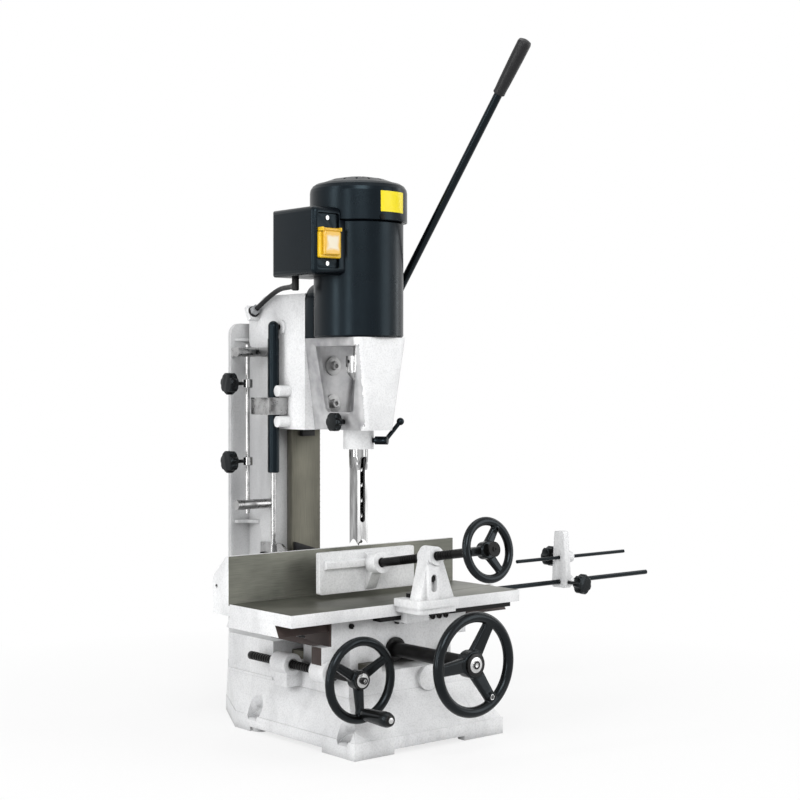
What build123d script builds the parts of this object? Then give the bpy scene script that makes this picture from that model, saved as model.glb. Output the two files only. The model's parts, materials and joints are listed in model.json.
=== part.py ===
from build123d import *
from math import atan, cos, degrees, pi, radians, sin, tan
import os

# Benchtop mortiser with a two-way table. Millimetres, +Z up, operator on the -Y side.
# The origin is the centre of the four bench bolts, on the underside of the feet.

# ---- machine layout
spindle_y = 32.0            # bench-bolt centre to spindle axis
throat = 138.0              # spindle axis to the column's front way
head_half = 50.0            # half width of the head casting
table_length = 450.0
table_top_z = 210.8
table_front = 130.0         # spindle axis to the table's front edge
fence_gap = 29.5            # spindle axis to the fence face
fence_height = 71.0
slab = 18.0
running = 0.3               # clearance between faces that slide on each other
fit = 0.05                  # radial clearance of a shaft in its bush
gib_thick = 8.0

# ---- base
foot_half = 146.0
foot_front = 143.0
foot_side_rear = 161.0
foot_rear_half = 82.0
foot_rear = 282.0
flange_z = 25.0
foot_drop = 7.0
ledge_z = 80.0
body_half = 120.0
body_front = 96.0
body_side_rear = 215.0
body_rear_half = 80.0
deck_z = 112.0
rear_deck_z = 140.0
high_wall_front = 94.0
base_wall = 10.0
bolt_span_x = 262.0
bolt_span_y = 228.0
bolt_hole_r = 5.5
pocket_r = 17.0
rail_half = 84.0
rail_width = 26.0
rail_z = 124.0

# ---- column
column_height = 640.0
body_top_z = 598.0
way_half = 28.5
way_neck_half = 20.0
way_depth = 25.0
box_half = 44.0
box_depth = 75.0
box_wall = 9.0
flange_half = 80.0
flange_thick = 8.0
rib_size = 30.0

# ---- head
head_bottom_z = 467.0
seat_z = 612.0
head_top_z = 684.0
upright_front = 74.0        # behind the spindle
upright_rear = 160.0
cheek_rear = 229.0
cheek = 5.4
nose_front = 62.0           # ahead of the spindle
nose_taper = 20.0
nose_back_slope = 8.0
nose_wall = 8.0
seat_thick = 12.0

# ---- lever drive
lever_pinion_z = 566.0
lever_pinion_y = 107.0      # behind the spindle
lever_module = 3.0
lever_teeth = 30
lever_x = 88.0
lever_length = 608.0
lever_angle = 50.8          # above the horizontal, leaning to the front
lever_rod_r = 6.5
lever_shaft_r = 11.0

# ---- motor and chuck
motor_r = 70.5
motor_z0 = 612.0
fan_cover_z = 792.0
fan_cover_r = 76.5
fan_cover_top = 864.0
chuck_r = 20.0
bit_shank_r = 6.0
auger_r = 7.6

# ---- chisel
chisel_width = 20.0
chisel_bore_r = 8.0
chisel_shank_r = 15.0
chisel_top_z = 470.0
neck_bottom_z = 438.0
chisel_tip_z = 289.0

# ---- saddle and feeds
saddle_half = 135.0
saddle_front = 105.0        # ahead of the spindle
saddle_rear = 52.0
saddle_low_z = 150.0
tongue_top_front = 90.0
tongue_flare = 9.0
tongue_rear = 26.0
tongue_depth = 17.0
cross_x = -139.0
cross_z = 116.7
cross_r = 6.5
cross_wheel_y = 179.5
cross_wheel_d = 125.0
feed_x = -14.0
feed_z = 138.7
feed_r = 11.0
feed_wheel_y = 283.0
feed_wheel_d = 152.0
feed_module = 2.0
feed_teeth = 24
feed_pinion_y = 30.0        # ahead of the spindle
feed_pinion_width = 18.0

# ---- clamp
clamp_x = 4.0
clamp_tilt = 9.2
clamp_ball_y = 44.0
clamp_ball_z = 262.0
clamp_screw_r = 6.8
clamp_wheel_y = 293.0
clamp_wheel_d = 96.0
jaw_half = 94.0
jaw_back = 14.0
jaw_thick = 10.0
jaw_low_z = 218.0
jaw_high_z = 282.0
bracket_y = 168.0
bracket_x = (-36.0, 44.0)
bracket_front = 190.0
bracket_low_z = 200.0
bracket_mid_z = 208.5
bracket_high_z = 220.0
hook_half = 22.0
slot_x = -3.0

# ---- depth rod, strut and stops
depth_rod_x = -92.0
depth_rod_y = 173.0
depth_rod_r = 3.5
stud_r = 8.0
stud_z = (344.7, 591.5)
collar_z = (415.1, 540.5)
collar_half = 7.0
collar_r = 8.5
strut_x = -64.5
strut_y = 139.5
strut_r = 9.3
strut_rod_r = 4.0
strut_low_z = 396.9
strut_high_z = 614.0
stop_arm_z = (490.5, 518.0)
stop_boss_y = 119.0
stop_boss_z = (479.4, 528.5)
stop_rod_y = -55.0
stop_rod_z = 202.6
stop_rod_r = 4.0
stop_rod_end = 614.0
upper_rod_z = 243.8
upper_rod_r = 3.0
upper_rod_x = (292.0, 555.0)
stop_block_x = 392.0
stop_block_thick = 12.0
rail_thick = 6.5
rail_screw_x = (-40.0, 60.0, 180.0)
gib_gap = 5.5
gib_screw_x = (-105.0, -55.0, 0.0, 55.0, 105.0)
rack_screw_z = (322.0, 452.0)
rack_x = (30.5, 37.5)
cross_nut_y = (-16.0, 22.0)     # along the left wall, from the spindle
head_gib_screw_z = (500.0, 545.0, 590.0)
window_bolt_z = (508.7, 568.5)
window_bolt_x = -9.0
head_knob_z = 481.0
gland_x = -60.0
gland_y = 203.0
gland_z = 658.0
gland_tilt = 27.0


def at_y(offset):
    """Depth of a point that lies this far behind the spindle axis."""
    return spindle_y + offset


def block(x, y, z):
    """A box between two corners; each argument is a (low, high) pair."""
    size = [max(p) - min(p) for p in (x, y, z)]
    return Pos((x[0] + x[1]) / 2, (y[0] + y[1]) / 2, (z[0] + z[1]) / 2) * Box(*size)


def rod_x(r, y, z, x0, x1):
    return Pos((x0 + x1) / 2, y, z) * Rot(0, 90, 0) * Cylinder(r, abs(x1 - x0))


def rod_y(r, x, z, y0, y1):
    return Pos(x, (y0 + y1) / 2, z) * Rot(90, 0, 0) * Cylinder(r, abs(y1 - y0))


def rod_z(r, x, y, z0, z1):
    return Pos(x, y, (z0 + z1) / 2) * Cylinder(r, abs(z1 - z0))


def slab_of(points, z0, z1, plane=Plane.XY):
    """A flat outline extruded from z0 to z1 along the plane's normal."""
    face = plane.offset(z0) * make_face(Polyline(*points, close=True))
    return extrude(face, z1 - z0, dir=plane.z_dir)


def slab_x(points, x0, x1):
    """An outline of (y, z) points extruded along X."""
    face = make_face(Polyline(*[(x0, y, z) for y, z in points], close=True))
    return extrude(face, x1 - x0, dir=(1, 0, 0))


def slab_y(points, y0, y1):
    """An outline of (x, z) points extruded along Y."""
    face = make_face(Polyline(*[(x, y0, z) for x, z in points], close=True))
    return extrude(face, y1 - y0, dir=(0, 1, 0))


def loft_between(low, z0, high, z1):
    """A straight-sided loft between two outlines with as many corners."""
    faces = [Pos(0, 0, z) * make_face(Polyline(*pts, close=True)) for pts, z in ((low, z0), (high, z1))]
    return loft(faces, ruled=True)


def hex_prism_z(across, x, y, z0, z1):
    return Pos(x, y, z0) * extrude(RegularPolygon(across / 2, 6, major_radius=False), z1 - z0)


def cap_screw_x(r, x, y, z, out, length):
    """A socket cap screw whose head stands on the face at x and points along out (+1 or -1)."""
    head = rod_x(r, y, z, x, x + out * r * 1.1)
    socket = Pos(x + out * r * 1.1, y, z) * Rot(0, 90, 0) * extrude(
        RegularPolygon(r * 0.45, 6, major_radius=False), r * 0.6, both=True)
    shank = rod_x(r * 0.55, y, z, x, x - out * length)
    return head - socket + shank


def cap_screw_y(r, x, y, z, out, length):
    """A socket cap screw standing on the face at y."""
    screw = cap_screw_x(r, 0, 0, 0, 1, length)
    return Pos(x, y, z) * Rot(0, 0, 90 * out) * screw


def star_knob(r, thick, lobes=7):
    """A lobed hand knob about +Z, its hub face at z = 0."""
    body = Cylinder(r, thick, align=(Align.CENTER, Align.CENTER, Align.MIN))
    body = chamfer(body.edges().filter_by(GeomType.CIRCLE), r * 0.14)
    for i in range(lobes):
        a = radians(360 * i / lobes)
        body -= Pos(r * 1.22 * cos(a), r * 1.22 * sin(a), thick / 2) * Cylinder(r * 0.42, thick * 1.2)
    hub = Pos(0, 0, -r * 0.3) * Cylinder(r * 0.42, r * 0.3, align=(Align.CENTER, Align.CENTER, Align.MIN))
    return body + hub


def handwheel(diameter, rim_r, bore_r, spoke_angles, hub_r, hub_back, hub_front, dish, handle_r=0.0):
    """A three-spoke wheel about +Z. The rim's centre is at z = 0 and the hub stands dish behind it."""
    ring_r = diameter / 2 - rim_r
    rim = Pos(0, 0, 0) * Torus(ring_r, rim_r)
    rim = rim + Cylinder(ring_r, rim_r * 1.5) - Cylinder(ring_r - rim_r * 1.15, rim_r * 3)
    wheel = rim + Pos(0, 0, -dish) * Pos(0, 0, (hub_front - hub_back) / 2) * Cylinder(hub_r, hub_front + hub_back)
    for a in spoke_angles:
        inner = Plane(origin=(0, 0, -dish), x_dir=(0, 1, 0), z_dir=(1, 0, 0)) * RectangleRounded(
            hub_r * 1.25, rim_r * 1.5, rim_r * 0.5)
        outer = Plane(origin=(ring_r, 0, 0), x_dir=(0, 1, 0), z_dir=(1, 0, 0)) * RectangleRounded(
            hub_r * 0.95, rim_r * 1.2, rim_r * 0.4)
        wheel += Rot(0, 0, a) * loft([inner, outer])
    if handle_r:
        a = radians(spoke_angles[-1])
        seat = ring_r - rim_r * 1.2
        wheel += Pos(seat * cos(a), seat * sin(a), 0) * Cylinder(handle_r * 1.6, rim_r * 1.7)
        wheel -= Pos(seat * cos(a), seat * sin(a), 0) * Cylinder(handle_r, rim_r * 4)
    return wheel - Pos(0, 0, -dish) * Cylinder(bore_r, hub_back + hub_front + 40)


def spur_gear(module, teeth, width, bore_r, turn=0.0):
    """A spur gear about +Z; each tooth is thinned for backlash."""
    pitch = module * teeth / 2
    half = 360 / teeth / 4
    points = []
    for i in range(teeth):
        mid = turn + 360 * i / teeth
        for dr, share in ((-1.25, -1.62), (-0.2, -0.93), (1.0, -0.42), (1.0, 0.42), (-0.2, 0.93), (-1.25, 1.62)):
            a = radians(mid + half * share)
            r = pitch + module * dr
            points.append((r * cos(a), r * sin(a)))
    gear = extrude(make_face(Polyline(*points, close=True)), width)
    return gear - Cylinder(bore_r, width * 3)


def rack_teeth(module, length, width, back, centre=0.0):
    """A rack along +X whose teeth point to -Y, pitch line at y = 0, a gap centred on x = centre."""
    pitch = pi * module
    count = int(length / pitch) + 1
    points = [(-length / 2, back), (-length / 2, module * 1.25)]
    for i in range(-count, count):
        mid = centre + (i + 0.5) * pitch
        if mid - pitch * 0.4 < -length / 2 or mid + pitch * 0.4 > length / 2:
            continue
        points += [(mid - pitch * 0.36, module * 1.25), (mid - pitch * 0.10, -module * 0.95),
                   (mid + pitch * 0.10, -module * 0.95), (mid + pitch * 0.36, module * 1.25)]
    points += [(length / 2, module * 1.25), (length / 2, back)]
    return extrude(make_face(Polyline(*points, close=True)), width)


# ================================================================ base

def plan(half, front, side_rear, rear_half, rear):
    """The base's outline from above: square in front, chamfered at both rear corners."""
    return [(-half, -front), (half, -front), (half, side_rear), (rear_half, rear),
            (-rear_half, rear), (-half, side_rear)]


def base_casting():
    foot = plan(foot_half, foot_front, foot_side_rear, foot_rear_half, foot_rear)
    top = plan(body_half, body_front, body_side_rear, body_rear_half, foot_rear - 4)
    body = slab_of(foot, 0, flange_z)
    body += loft_between(plan(foot_half - 2, foot_front - 2, foot_side_rear, foot_rear_half, foot_rear - 1),
                         flange_z, plan(body_half + 1, body_front + 1, body_side_rear, body_rear_half,
                                        foot_rear - 3), ledge_z)
    body += slab_of(top, ledge_z, deck_z)
    rear = [p for p in top if p[1] > 0]
    rear = [(body_half, high_wall_front), *rear, (-body_half, high_wall_front)]
    body += slab_of(rear, deck_z, rear_deck_z)
    body += slab_of([(x * (body_half + 1.8) / body_half, y) for x, y in rear], ledge_z, ledge_z + 4)
    for side in (-1, 1):
        x = side * (rail_half - rail_width / 2)
        body += block((x - rail_width / 2, x + rail_width / 2), (-body_front, high_wall_front), (deck_z, rail_z))
    # the hollow underneath
    inner_low = plan(foot_half - 14, foot_front - 14, foot_side_rear - 6, foot_rear_half - 8, foot_rear - 14)
    inner_top = plan(body_half - base_wall, body_front - base_wall, body_side_rear - 6,
                     body_rear_half - base_wall, foot_rear - 14)
    body -= loft_between(inner_low, -1, inner_top, ledge_z)
    body -= slab_of(inner_top, ledge_z, deck_z - base_wall)
    # the feet: the underside is raised between them
    reach = foot_half + 5
    body -= block((-reach, reach), (-65.0, 120.0), (-1, foot_drop))
    body -= block((-72.0, 66.0), (-foot_front - 5, foot_rear + 5), (-1, foot_drop))
    body = base_pockets(body)
    # cross-screw nut boss on the left wall, and the round lug in the middle of the front wall
    nut_y0, nut_y1 = at_y(cross_nut_y[0]), at_y(cross_nut_y[1])
    body += rod_y(16.5, cross_x, cross_z, nut_y0, nut_y1)
    body += block((cross_x - 9, -body_half + 4), (nut_y0 + 4, nut_y1 - 4), (cross_z - 34, cross_z - 9))
    body -= rod_y(cross_r + 2.5, cross_x, cross_z, nut_y0 - 1, nut_y1 + 1)
    body += rod_y(19.0, 30.0, 94.0, -body_front - 7, -body_front + 4)
    return body


def base_pockets(body):
    """Four scooped pockets in the flare, each over a bench-bolt hole."""
    foot = plan(foot_half, foot_front, foot_side_rear, foot_rear_half, foot_rear)
    top = plan(body_half, body_front, body_side_rear, body_rear_half, foot_rear - 4)
    flare = slab_of(foot, 0, flange_z) + loft_between(foot, flange_z, top, ledge_z)
    for sx in (-1, 1):
        for sy in (-1, 1):
            x, y = sx * bolt_span_x / 2, sy * bolt_span_y / 2
            core = rod_z(pocket_r + 9, x - sx * 14, y, foot_drop, ledge_z - 4) & flare
            seat_z0 = flange_z - 11
            lean = Pos(x + sx * 3, y, seat_z0 + 10) * Rot(0, sx * 28, 0)
            scoop = lean * Cylinder(pocket_r, 90, align=(Align.CENTER, Align.CENTER, Align.MIN))
            scoop += rod_z(pocket_r * 0.85, x + sx * 2, y, seat_z0 + 6, flange_z + 9)
            body = body + core + rod_z(12.0, x, y, 0, foot_drop + 1) - scoop
            body -= rod_z(bolt_hole_r, x, y, -1, flange_z + 10)
    return body


def column_casting():
    way_y = at_y(throat)
    box_y = way_y + way_depth
    flange_y = box_y + box_depth
    z0 = rear_deck_z
    way = [(-way_half, way_y), (way_half, way_y), (way_half, way_y + 8), (way_neck_half, box_y),
           (-way_neck_half, box_y), (-way_half, way_y + 8)]
    body = slab_of(way, z0, body_top_z)
    body += block((-box_half, box_half), (box_y, flange_y), (z0, body_top_z))
    # hollow behind the way, open at the top
    body -= block((-box_half + box_wall, box_half - box_wall), (box_y + box_wall, flange_y - 4), (z0 + 30, body_top_z + 1))
    flange = Plane.XZ.offset(-flange_y) * Pos(0, (z0 + column_height) / 2) * Rectangle(
        flange_half * 2, column_height - z0)
    flange = extrude(flange, -flange_thick)
    top_corners = flange.edges().filter_by(Axis.Y).group_by(Axis.Z)[-1]
    body += fillet(top_corners, 18)
    for side in (-1, 1):
        for z, reach in ((312.0, rib_size), (613.0, 7.0)):
            inner, outer = side * (box_half - 1), side * (box_half + rib_size)
            body += slab_of([(inner, flange_y + 1), (outer, flange_y + 1), (outer - side * 4, flange_y - reach * 0.2),
                             (side * (box_half + 12), flange_y - reach * 0.42),
                             (side * (box_half + 2), flange_y - reach), (inner, flange_y - reach)],
                            z - 2.5, z + 2.5)
    # foot flange on the base's rear deck
    body += slab_of([(-body_rear_half + 2, foot_rear - 6), (body_rear_half - 2, foot_rear - 6), (88, 208),
                     (62, way_y - 4), (-62, way_y - 4), (-88, 208)], z0, z0 + 16)
    for x, y in column_bolt_places():
        body -= rod_z(6.5, x, y, z0 - 1, z0 + 20)
    for z in rack_screw_z:
        body -= rod_y(1.8, sum(rack_x) / 2, z, box_y - 1, box_y + 12)
    return body


def column_bolt_places():
    return [(sx * 66.0, y) for sx in (-1, 1) for y in (at_y(throat) + 20, at_y(throat) + 88)]


def column_bolts():
    z = rear_deck_z + 16
    out = []
    for x, y in column_bolt_places():
        bolt = hex_prism_z(17, x, y, z, z + 9) + rod_z(5.0, x, y, z - 16, z)
        out.append(bolt)
    return out


# ================================================================ head

def gib_outline(left, clear):
    """The slot (or, drawn in by clear, the strip) between the head and the way's left flank."""
    way_y = at_y(throat)
    lean = (way_half - way_neck_half) / (way_depth - 8)
    right = -way_half - running - clear
    return [(-left + clear, way_y + 1.5 + clear), (right, way_y + 1.5 + clear), (right, way_y + 8),
            (right + lean * (way_depth - 11), way_y + way_depth - 3), (-left + clear, way_y + way_depth - 3)]


def upright_outline():
    rear_low = at_y(upright_rear)
    return [(at_y(upright_front), head_bottom_z), (rear_low, head_bottom_z), (rear_low, 590.0),
            (at_y(upright_rear + 8), 598.0), (at_y(cheek_rear - 12), 599.0), (at_y(cheek_rear - 3), 602.5),
            (at_y(cheek_rear), 610.0), (at_y(cheek_rear), 652.0), (at_y(cheek_rear - 6), 661.0),
            (at_y(190), 680.5), (at_y(182), head_top_z), (at_y(upright_front), head_top_z)]


def nose_outline(z):
    """The front housing in plan at height z: it narrows and draws back towards the bottom."""
    t = (seat_z - z) / (seat_z - head_bottom_z)
    half = head_half - nose_taper * t
    front = at_y(-nose_front + nose_back_slope * t)
    return half, front


def nose_solid(z0, z1, inset, rear):
    faces = []
    for z in (z0, z1):
        half, front = nose_outline(z)
        half, front = half - inset, front + inset
        width, depth = half * 2, rear - front
        round_r = max(12.0 - inset, 3.0)
        sketch = Rectangle(width, depth)
        sketch = fillet(sketch.vertices().group_by(Axis.Y)[0], round_r)
        faces.append(Pos(0, front + depth / 2, z) * sketch)
    return loft(faces, ruled=True)


def gland_pad_outline():
    """Side view of the pad that takes the lead's gland: its seat looks forward and up."""
    y, z, half, thick = gland_y, gland_z, 12.0, 9.0
    lean, rise = sin(radians(gland_tilt)), cos(radians(gland_tilt))
    corner = [(y - lean * half, z - rise * half), (y + lean * half, z + rise * half)]
    back = [(a + rise * thick, b - lean * thick) for a, b in reversed(corner)]
    return [(at_y(a), b) for a, b in corner + back]


def head_casting():
    body = slab_x(upright_outline(), -head_half, head_half)
    nose = nose_solid(head_bottom_z + 1, seat_z, 0, at_y(upright_front) + 6)
    nose -= nose_solid(head_bottom_z + 13, seat_z - seat_thick, nose_wall, at_y(55))
    body += nose
    # the side windows of the housing, wide at the top and drawn in at the bottom
    window = [(at_y(48), seat_z - seat_thick - 1), (at_y(-53), seat_z - seat_thick - 1),
              (at_y(-50), 572.0), (at_y(-30), 499.0), (at_y(-26), 496.0), (at_y(35), 496.0), (at_y(40), 501.0)]
    body -= slab_x(window, -head_half - 5, 0)
    body -= slab_x(window, 0, head_half + 5)
    # motor spigot hole and the bore for the chisel bush
    body -= rod_z(24, 0, spindle_y, seat_z - seat_thick - 2, seat_z + 2)
    body += rod_z(24, 0, spindle_y, neck_bottom_z, head_bottom_z + 14)
    body -= lock_screw_bore(4.0)
    body -= rod_z(chisel_shank_r + 4, 0, spindle_y, neck_bottom_z - 1, head_bottom_z + 20)
    # the space for the column between the cheeks, and for the way and the rack
    inside = head_half - cheek
    body -= block((-inside, inside), (at_y(throat + way_depth - 2), at_y(cheek_rear + 5)), (head_bottom_z - 1, 676.0))
    way_y = at_y(throat)
    c = running
    way = [(-way_half - c, way_y - c), (way_half + c, way_y - c), (way_half + c, way_y + 8 + c),
           (way_neck_half + c, way_y + way_depth + 1), (-way_neck_half - c, way_y + way_depth + 1),
           (-way_half - c, way_y + 8 + c)]
    body -= slab_of(way, head_bottom_z - 1, head_top_z - 8)
    rack_x0, rack_x1 = 30.2, head_half - cheek
    body -= block((rack_x0, rack_x1), (at_y(lever_pinion_y + 38), at_y(throat + way_depth)), (head_bottom_z - 1, 676.0))
    # gib slot on the left flank
    body -= slab_of(gib_outline(way_half + gib_thick, 0.0), head_bottom_z - 1, head_top_z - 8)
    # pinion pocket and its shaft bore through the right cheek
    tip = lever_module * (lever_teeth / 2 + 1) + 1.2
    py = at_y(lever_pinion_y)
    body -= rod_x(tip, py, lever_pinion_z, rack_x0, rack_x1) & block(
        (rack_x0, rack_x1), (py - 60, way_y + 30), (lever_pinion_z - 60, seat_z - 9.5 + 12))
    body -= rod_x(lever_shaft_r + 4, py, lever_pinion_z, 6, head_half + 20)
    body += rod_x(lever_shaft_r + 12, py, lever_pinion_z, head_half - 0.5, head_half + 14)
    body -= rod_x(lever_shaft_r + 4, py, lever_pinion_z, head_half - 1, head_half + 20)
    # bosses on the left cheek: the strut's pin and the two that hold the stop arm
    body += rod_x(11.0, at_y(strut_y - 4.5), 632.0, -head_half + 1, strut_x + strut_r + 1.2)
    for z in stop_boss_z:
        body += rod_x(9.0, at_y(stop_boss_y), z, -head_half + 1, -head_half - 22)
    pad = gland_pad_outline()
    body += slab_x(pad, -head_half - 19, -head_half + 0.5)
    for z in window_bolt_z:
        body -= rod_y(4.6, window_bolt_x, z, at_y(54), at_y(upright_front) + 20)
    for z in head_gib_screw_z:
        body -= rod_x(3.0, at_y(throat + 11), z, -head_half - 1, -way_half - gib_thick + 0.5)
    half, _ = nose_outline(head_knob_z)
    body -= rod_x(4.0, at_y(-3.0), head_knob_z, -half - 1, -half + 9)
    return body - rod_x(1.25, at_y(143.0), sum(stop_arm_z) / 2, -head_half - 1, -head_half + 4)


def way_buffer():
    """Rubber buffer at the foot of the way."""
    pts = [(-26.0, 262.0), (12.0, 262.0), (12.0, 271.0), (-26.0, 283.0)]
    return Pos(0, at_y(throat), 0) * extrude(Plane.XZ * make_face(Polyline(*pts, close=True)), 9.0)


def way_wiper():
    """Wiper under the head, just ahead of the way."""
    return block((-13.0, 11.0), (at_y(throat - 9), at_y(throat - 0.8)), (455.0, head_bottom_z))


def head_gib():
    return slab_of(gib_outline(way_half + gib_thick, 0.1), head_bottom_z + 2, head_top_z - 40)


def head_gib_screws():
    """Slotted set screws in the left cheek that press on the gib."""
    out = []
    for z in head_gib_screw_z:
        x0 = -way_half - gib_thick
        screw = rod_x(3.0, at_y(throat + 11), z, x0 - 8, x0)
        out.append(screw - block((x0 - 9, x0 - 7), (at_y(throat + 7), at_y(throat + 15)), (z - 0.5, z + 0.5)))
    return out


def lift_rack():
    length, middle = 290.0, 452.0
    teeth = rack_teeth(lever_module, length, rack_x[1] - rack_x[0], way_depth - pitch_back(), lever_pinion_z - middle)
    rack = Pos(rack_x[1], at_y(pitch_line()), middle) * Rot(0, -90, 0) * teeth
    for z in rack_screw_z:
        y = at_y(pitch_line())
        rack -= rod_y(3.0, sum(rack_x) / 2, z, y - 10, y + lever_module * 1.3 + 3.2)
        rack -= rod_y(1.8, sum(rack_x) / 2, z, y, y + 20)
    return rack


def pitch_line():
    """Where the lift rack's pitch line lies behind the spindle."""
    return lever_pinion_y + lever_module * lever_teeth / 2


def pitch_back():
    return pitch_line() - throat


def lift_rack_screws():
    x = sum(rack_x) / 2
    seat = at_y(pitch_line()) + lever_module * 1.3 + 3.2
    return [cap_screw_y(2.8, x, seat, z, -1, 14) for z in rack_screw_z]


def lift_pinion():
    """Pinion and shaft of the down-feed lever in one piece."""
    y, z = at_y(lever_pinion_y), lever_pinion_z
    gear = spur_gear(lever_module, lever_teeth, 12.0, lever_shaft_r - 2, 90)
    gear = Pos(31.2, y, z) * Rot(0, 90, 0) * gear
    return gear + rod_x(lever_shaft_r, y, z, 10.0, 80.0)


def lift_bushes():
    y, z = at_y(lever_pinion_y), lever_pinion_z
    r = lever_shaft_r
    inner = rod_x(r + 4, y, z, 6.0, 30.4) - rod_x(r + fit, y, z, 9.0, 40.0)
    outer = rod_x(r + 4, y, z, head_half - 1, head_half + 14) - rod_x(r + fit, y, z, 40.0, 70.0)
    return [inner, outer]


def lever_axis(offset):
    """A frame on the lever's centre line, offset millimetres out from the pivot."""
    return Pos(lever_x, at_y(lever_pinion_y), lever_pinion_z) * Rot(90 - lever_angle, 0, 0) * Pos(0, 0, offset)


def lever_hub():
    y, z = at_y(lever_pinion_y), lever_pinion_z
    hub = rod_x(20.0, y, z, head_half + 15, lever_x + 13)
    hub = chamfer(hub.edges().filter_by(GeomType.CIRCLE), 2.0)
    hub += lever_axis(16) * Cylinder(11.5, 22)
    hub -= lever_axis(0) * Cylinder(lever_rod_r, 80)
    return hub - rod_x(lever_shaft_r, y, z, 40.0, 80.0)


def lever_rod():
    rod = lever_axis((lever_length - 22) / 2 - 12) * Cylinder(lever_rod_r, lever_length + 22)
    return chamfer(rod.edges().filter_by(GeomType.CIRCLE), 1.2)


def lever_grip():
    """A tapering hand grip with a domed end, pushed over the end of the rod."""
    g = 92.0
    profile = make_face(Polyline((0, 0), (8.6, 0), (9.4, 1.2), (9.0, 6), (9.6, 20), (10.4, 60), (10.6, g - 6),
                                 (9.6, g - 2.2), (5.0, g - 0.4), (0, g), close=True))
    body = revolve(Plane.XZ * profile, Axis.Z)
    return lever_axis(lever_length + 12 - g) * (body - Pos(0, 0, (g - 12) / 2 - 1) * Cylinder(lever_rod_r, g - 10))


def motor_pad():
    """The block between the motor and the head's upright, round on top."""
    y0, y1 = at_y(52.0), at_y(upright_front)
    body = block((-head_half, head_half), (y0, y1), (seat_z, 701.0))
    edges = body.edges().filter_by(Axis.Y).group_by(Axis.Z)[-1]
    body = fillet(edges, 30)
    return body - rod_z(motor_r, 0, spindle_y, 600, 800)


def motor_shell():
    z0, z1 = motor_z0, fan_cover_z
    shell = rod_z(motor_r, 0, spindle_y, z0, z1)
    shell = chamfer(shell.edges().filter_by(GeomType.CIRCLE), 3)
    shell -= rod_z(motor_r - 5, 0, spindle_y, z0 + 8, z1 + 1)
    shell -= rod_z(17, 0, spindle_y, z0 - 1, z0 + 9)
    return shell


def motor_end_plate():
    plate = rod_z(motor_r + 2.5, 0, spindle_y, fan_cover_z, fan_cover_z + 8)
    plate += rod_z(motor_r - 5.2, 0, spindle_y, fan_cover_z - 6, fan_cover_z)
    for a in fan_screw_angles():
        plate -= Pos(0, spindle_y, 0) * Rot(0, 0, a) * rod_x(2.45, 0, fan_cover_z + 4, motor_r - 9, motor_r + 9)
    return plate - rod_z(17, 0, spindle_y, fan_cover_z - 10, fan_cover_z + 12)


def fan_cover():
    """A pressed cover: a short skirt, a broad shoulder radius and a shallow dome with air slots."""
    r, z0, z1 = fan_cover_r, fan_cover_z, fan_cover_top
    t = 2.5

    def bowl(dr, dz, low):
        pts = [(0, low), (r - dr, low), (r - dr, z1 - 26 - dz * 0.2)]
        arc = [(r - dr - (1 - cos(radians(a))) * 15, z1 - 26 + sin(radians(a)) * 15 - dz) for a in (20, 45, 70, 90)]
        pts += arc + [(r * 0.55, z1 - 4 - dz), (r * 0.25, z1 - dz), (0, z1 - dz)]
        return revolve(Plane.XZ * make_face(Polyline(*pts, close=True)), Axis.Z)

    cover = bowl(0, 0, z0 + 0.5) - bowl(t, t, z0 - 1)
    for ring, count in ((20.0, 8), (34.0, 12), (48.0, 16)):
        for i in range(count):
            slot = Pos(ring, 0, z1 - 6) * Box(9, 3, 24)
            cover -= Rot(0, 0, 360 * i / count + ring) * slot
    for a in fan_screw_angles():
        cover -= Rot(0, 0, a) * rod_x(2.5, 0, z0 + 4, r - 8, r + 2)
    return Pos(0, spindle_y, 0) * cover


def fan_screw_angles():
    return (-100, 20, 140)


def fan_cover_screws():
    out = []
    for a in fan_screw_angles():
        screw = rod_x(2.4, 0, fan_cover_z + 4, motor_r - 8, fan_cover_r) + rod_x(4.2, 0, fan_cover_z + 4,
                                                                              fan_cover_r, fan_cover_r + 1.8)
        out.append(Pos(0, spindle_y, 0) * Rot(0, 0, a) * screw)
    return out


def motor_stator():
    return rod_z(motor_r - 5, 0, spindle_y, 650, 750) - rod_z(42, 0, spindle_y, 640, 760)


def motor_shaft():
    """Shaft with its rotor: it carries the fan on top and the chuck below."""
    shaft = rod_z(8.0, 0, spindle_y, 578, fan_cover_z + 34) + rod_z(41, 0, spindle_y, 652, 748)
    return shaft + rod_z(10.0, 0, spindle_y, 640, 760)


def motor_bearings():
    out = []
    for z0 in (motor_z0, fan_cover_z - 5):
        out.append(rod_z(16.95, 0, spindle_y, z0, z0 + 8) - rod_z(8.0, 0, spindle_y, z0 - 1, z0 + 9))
    return out


def cooling_fan():
    z0 = fan_cover_z + 12
    fan = rod_z(15, 0, spindle_y, z0, z0 + 22) + rod_z(56, 0, spindle_y, z0, z0 + 2.5)
    for i in range(8):
        blade = Pos(35, 0, z0 + 12) * Box(44, 2.2, 22)
        fan += Pos(0, spindle_y, 0) * Rot(0, 0, 45 * i) * blade
    return fan - rod_z(8.0, 0, spindle_y, z0 - 1, z0 + 30)


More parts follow.
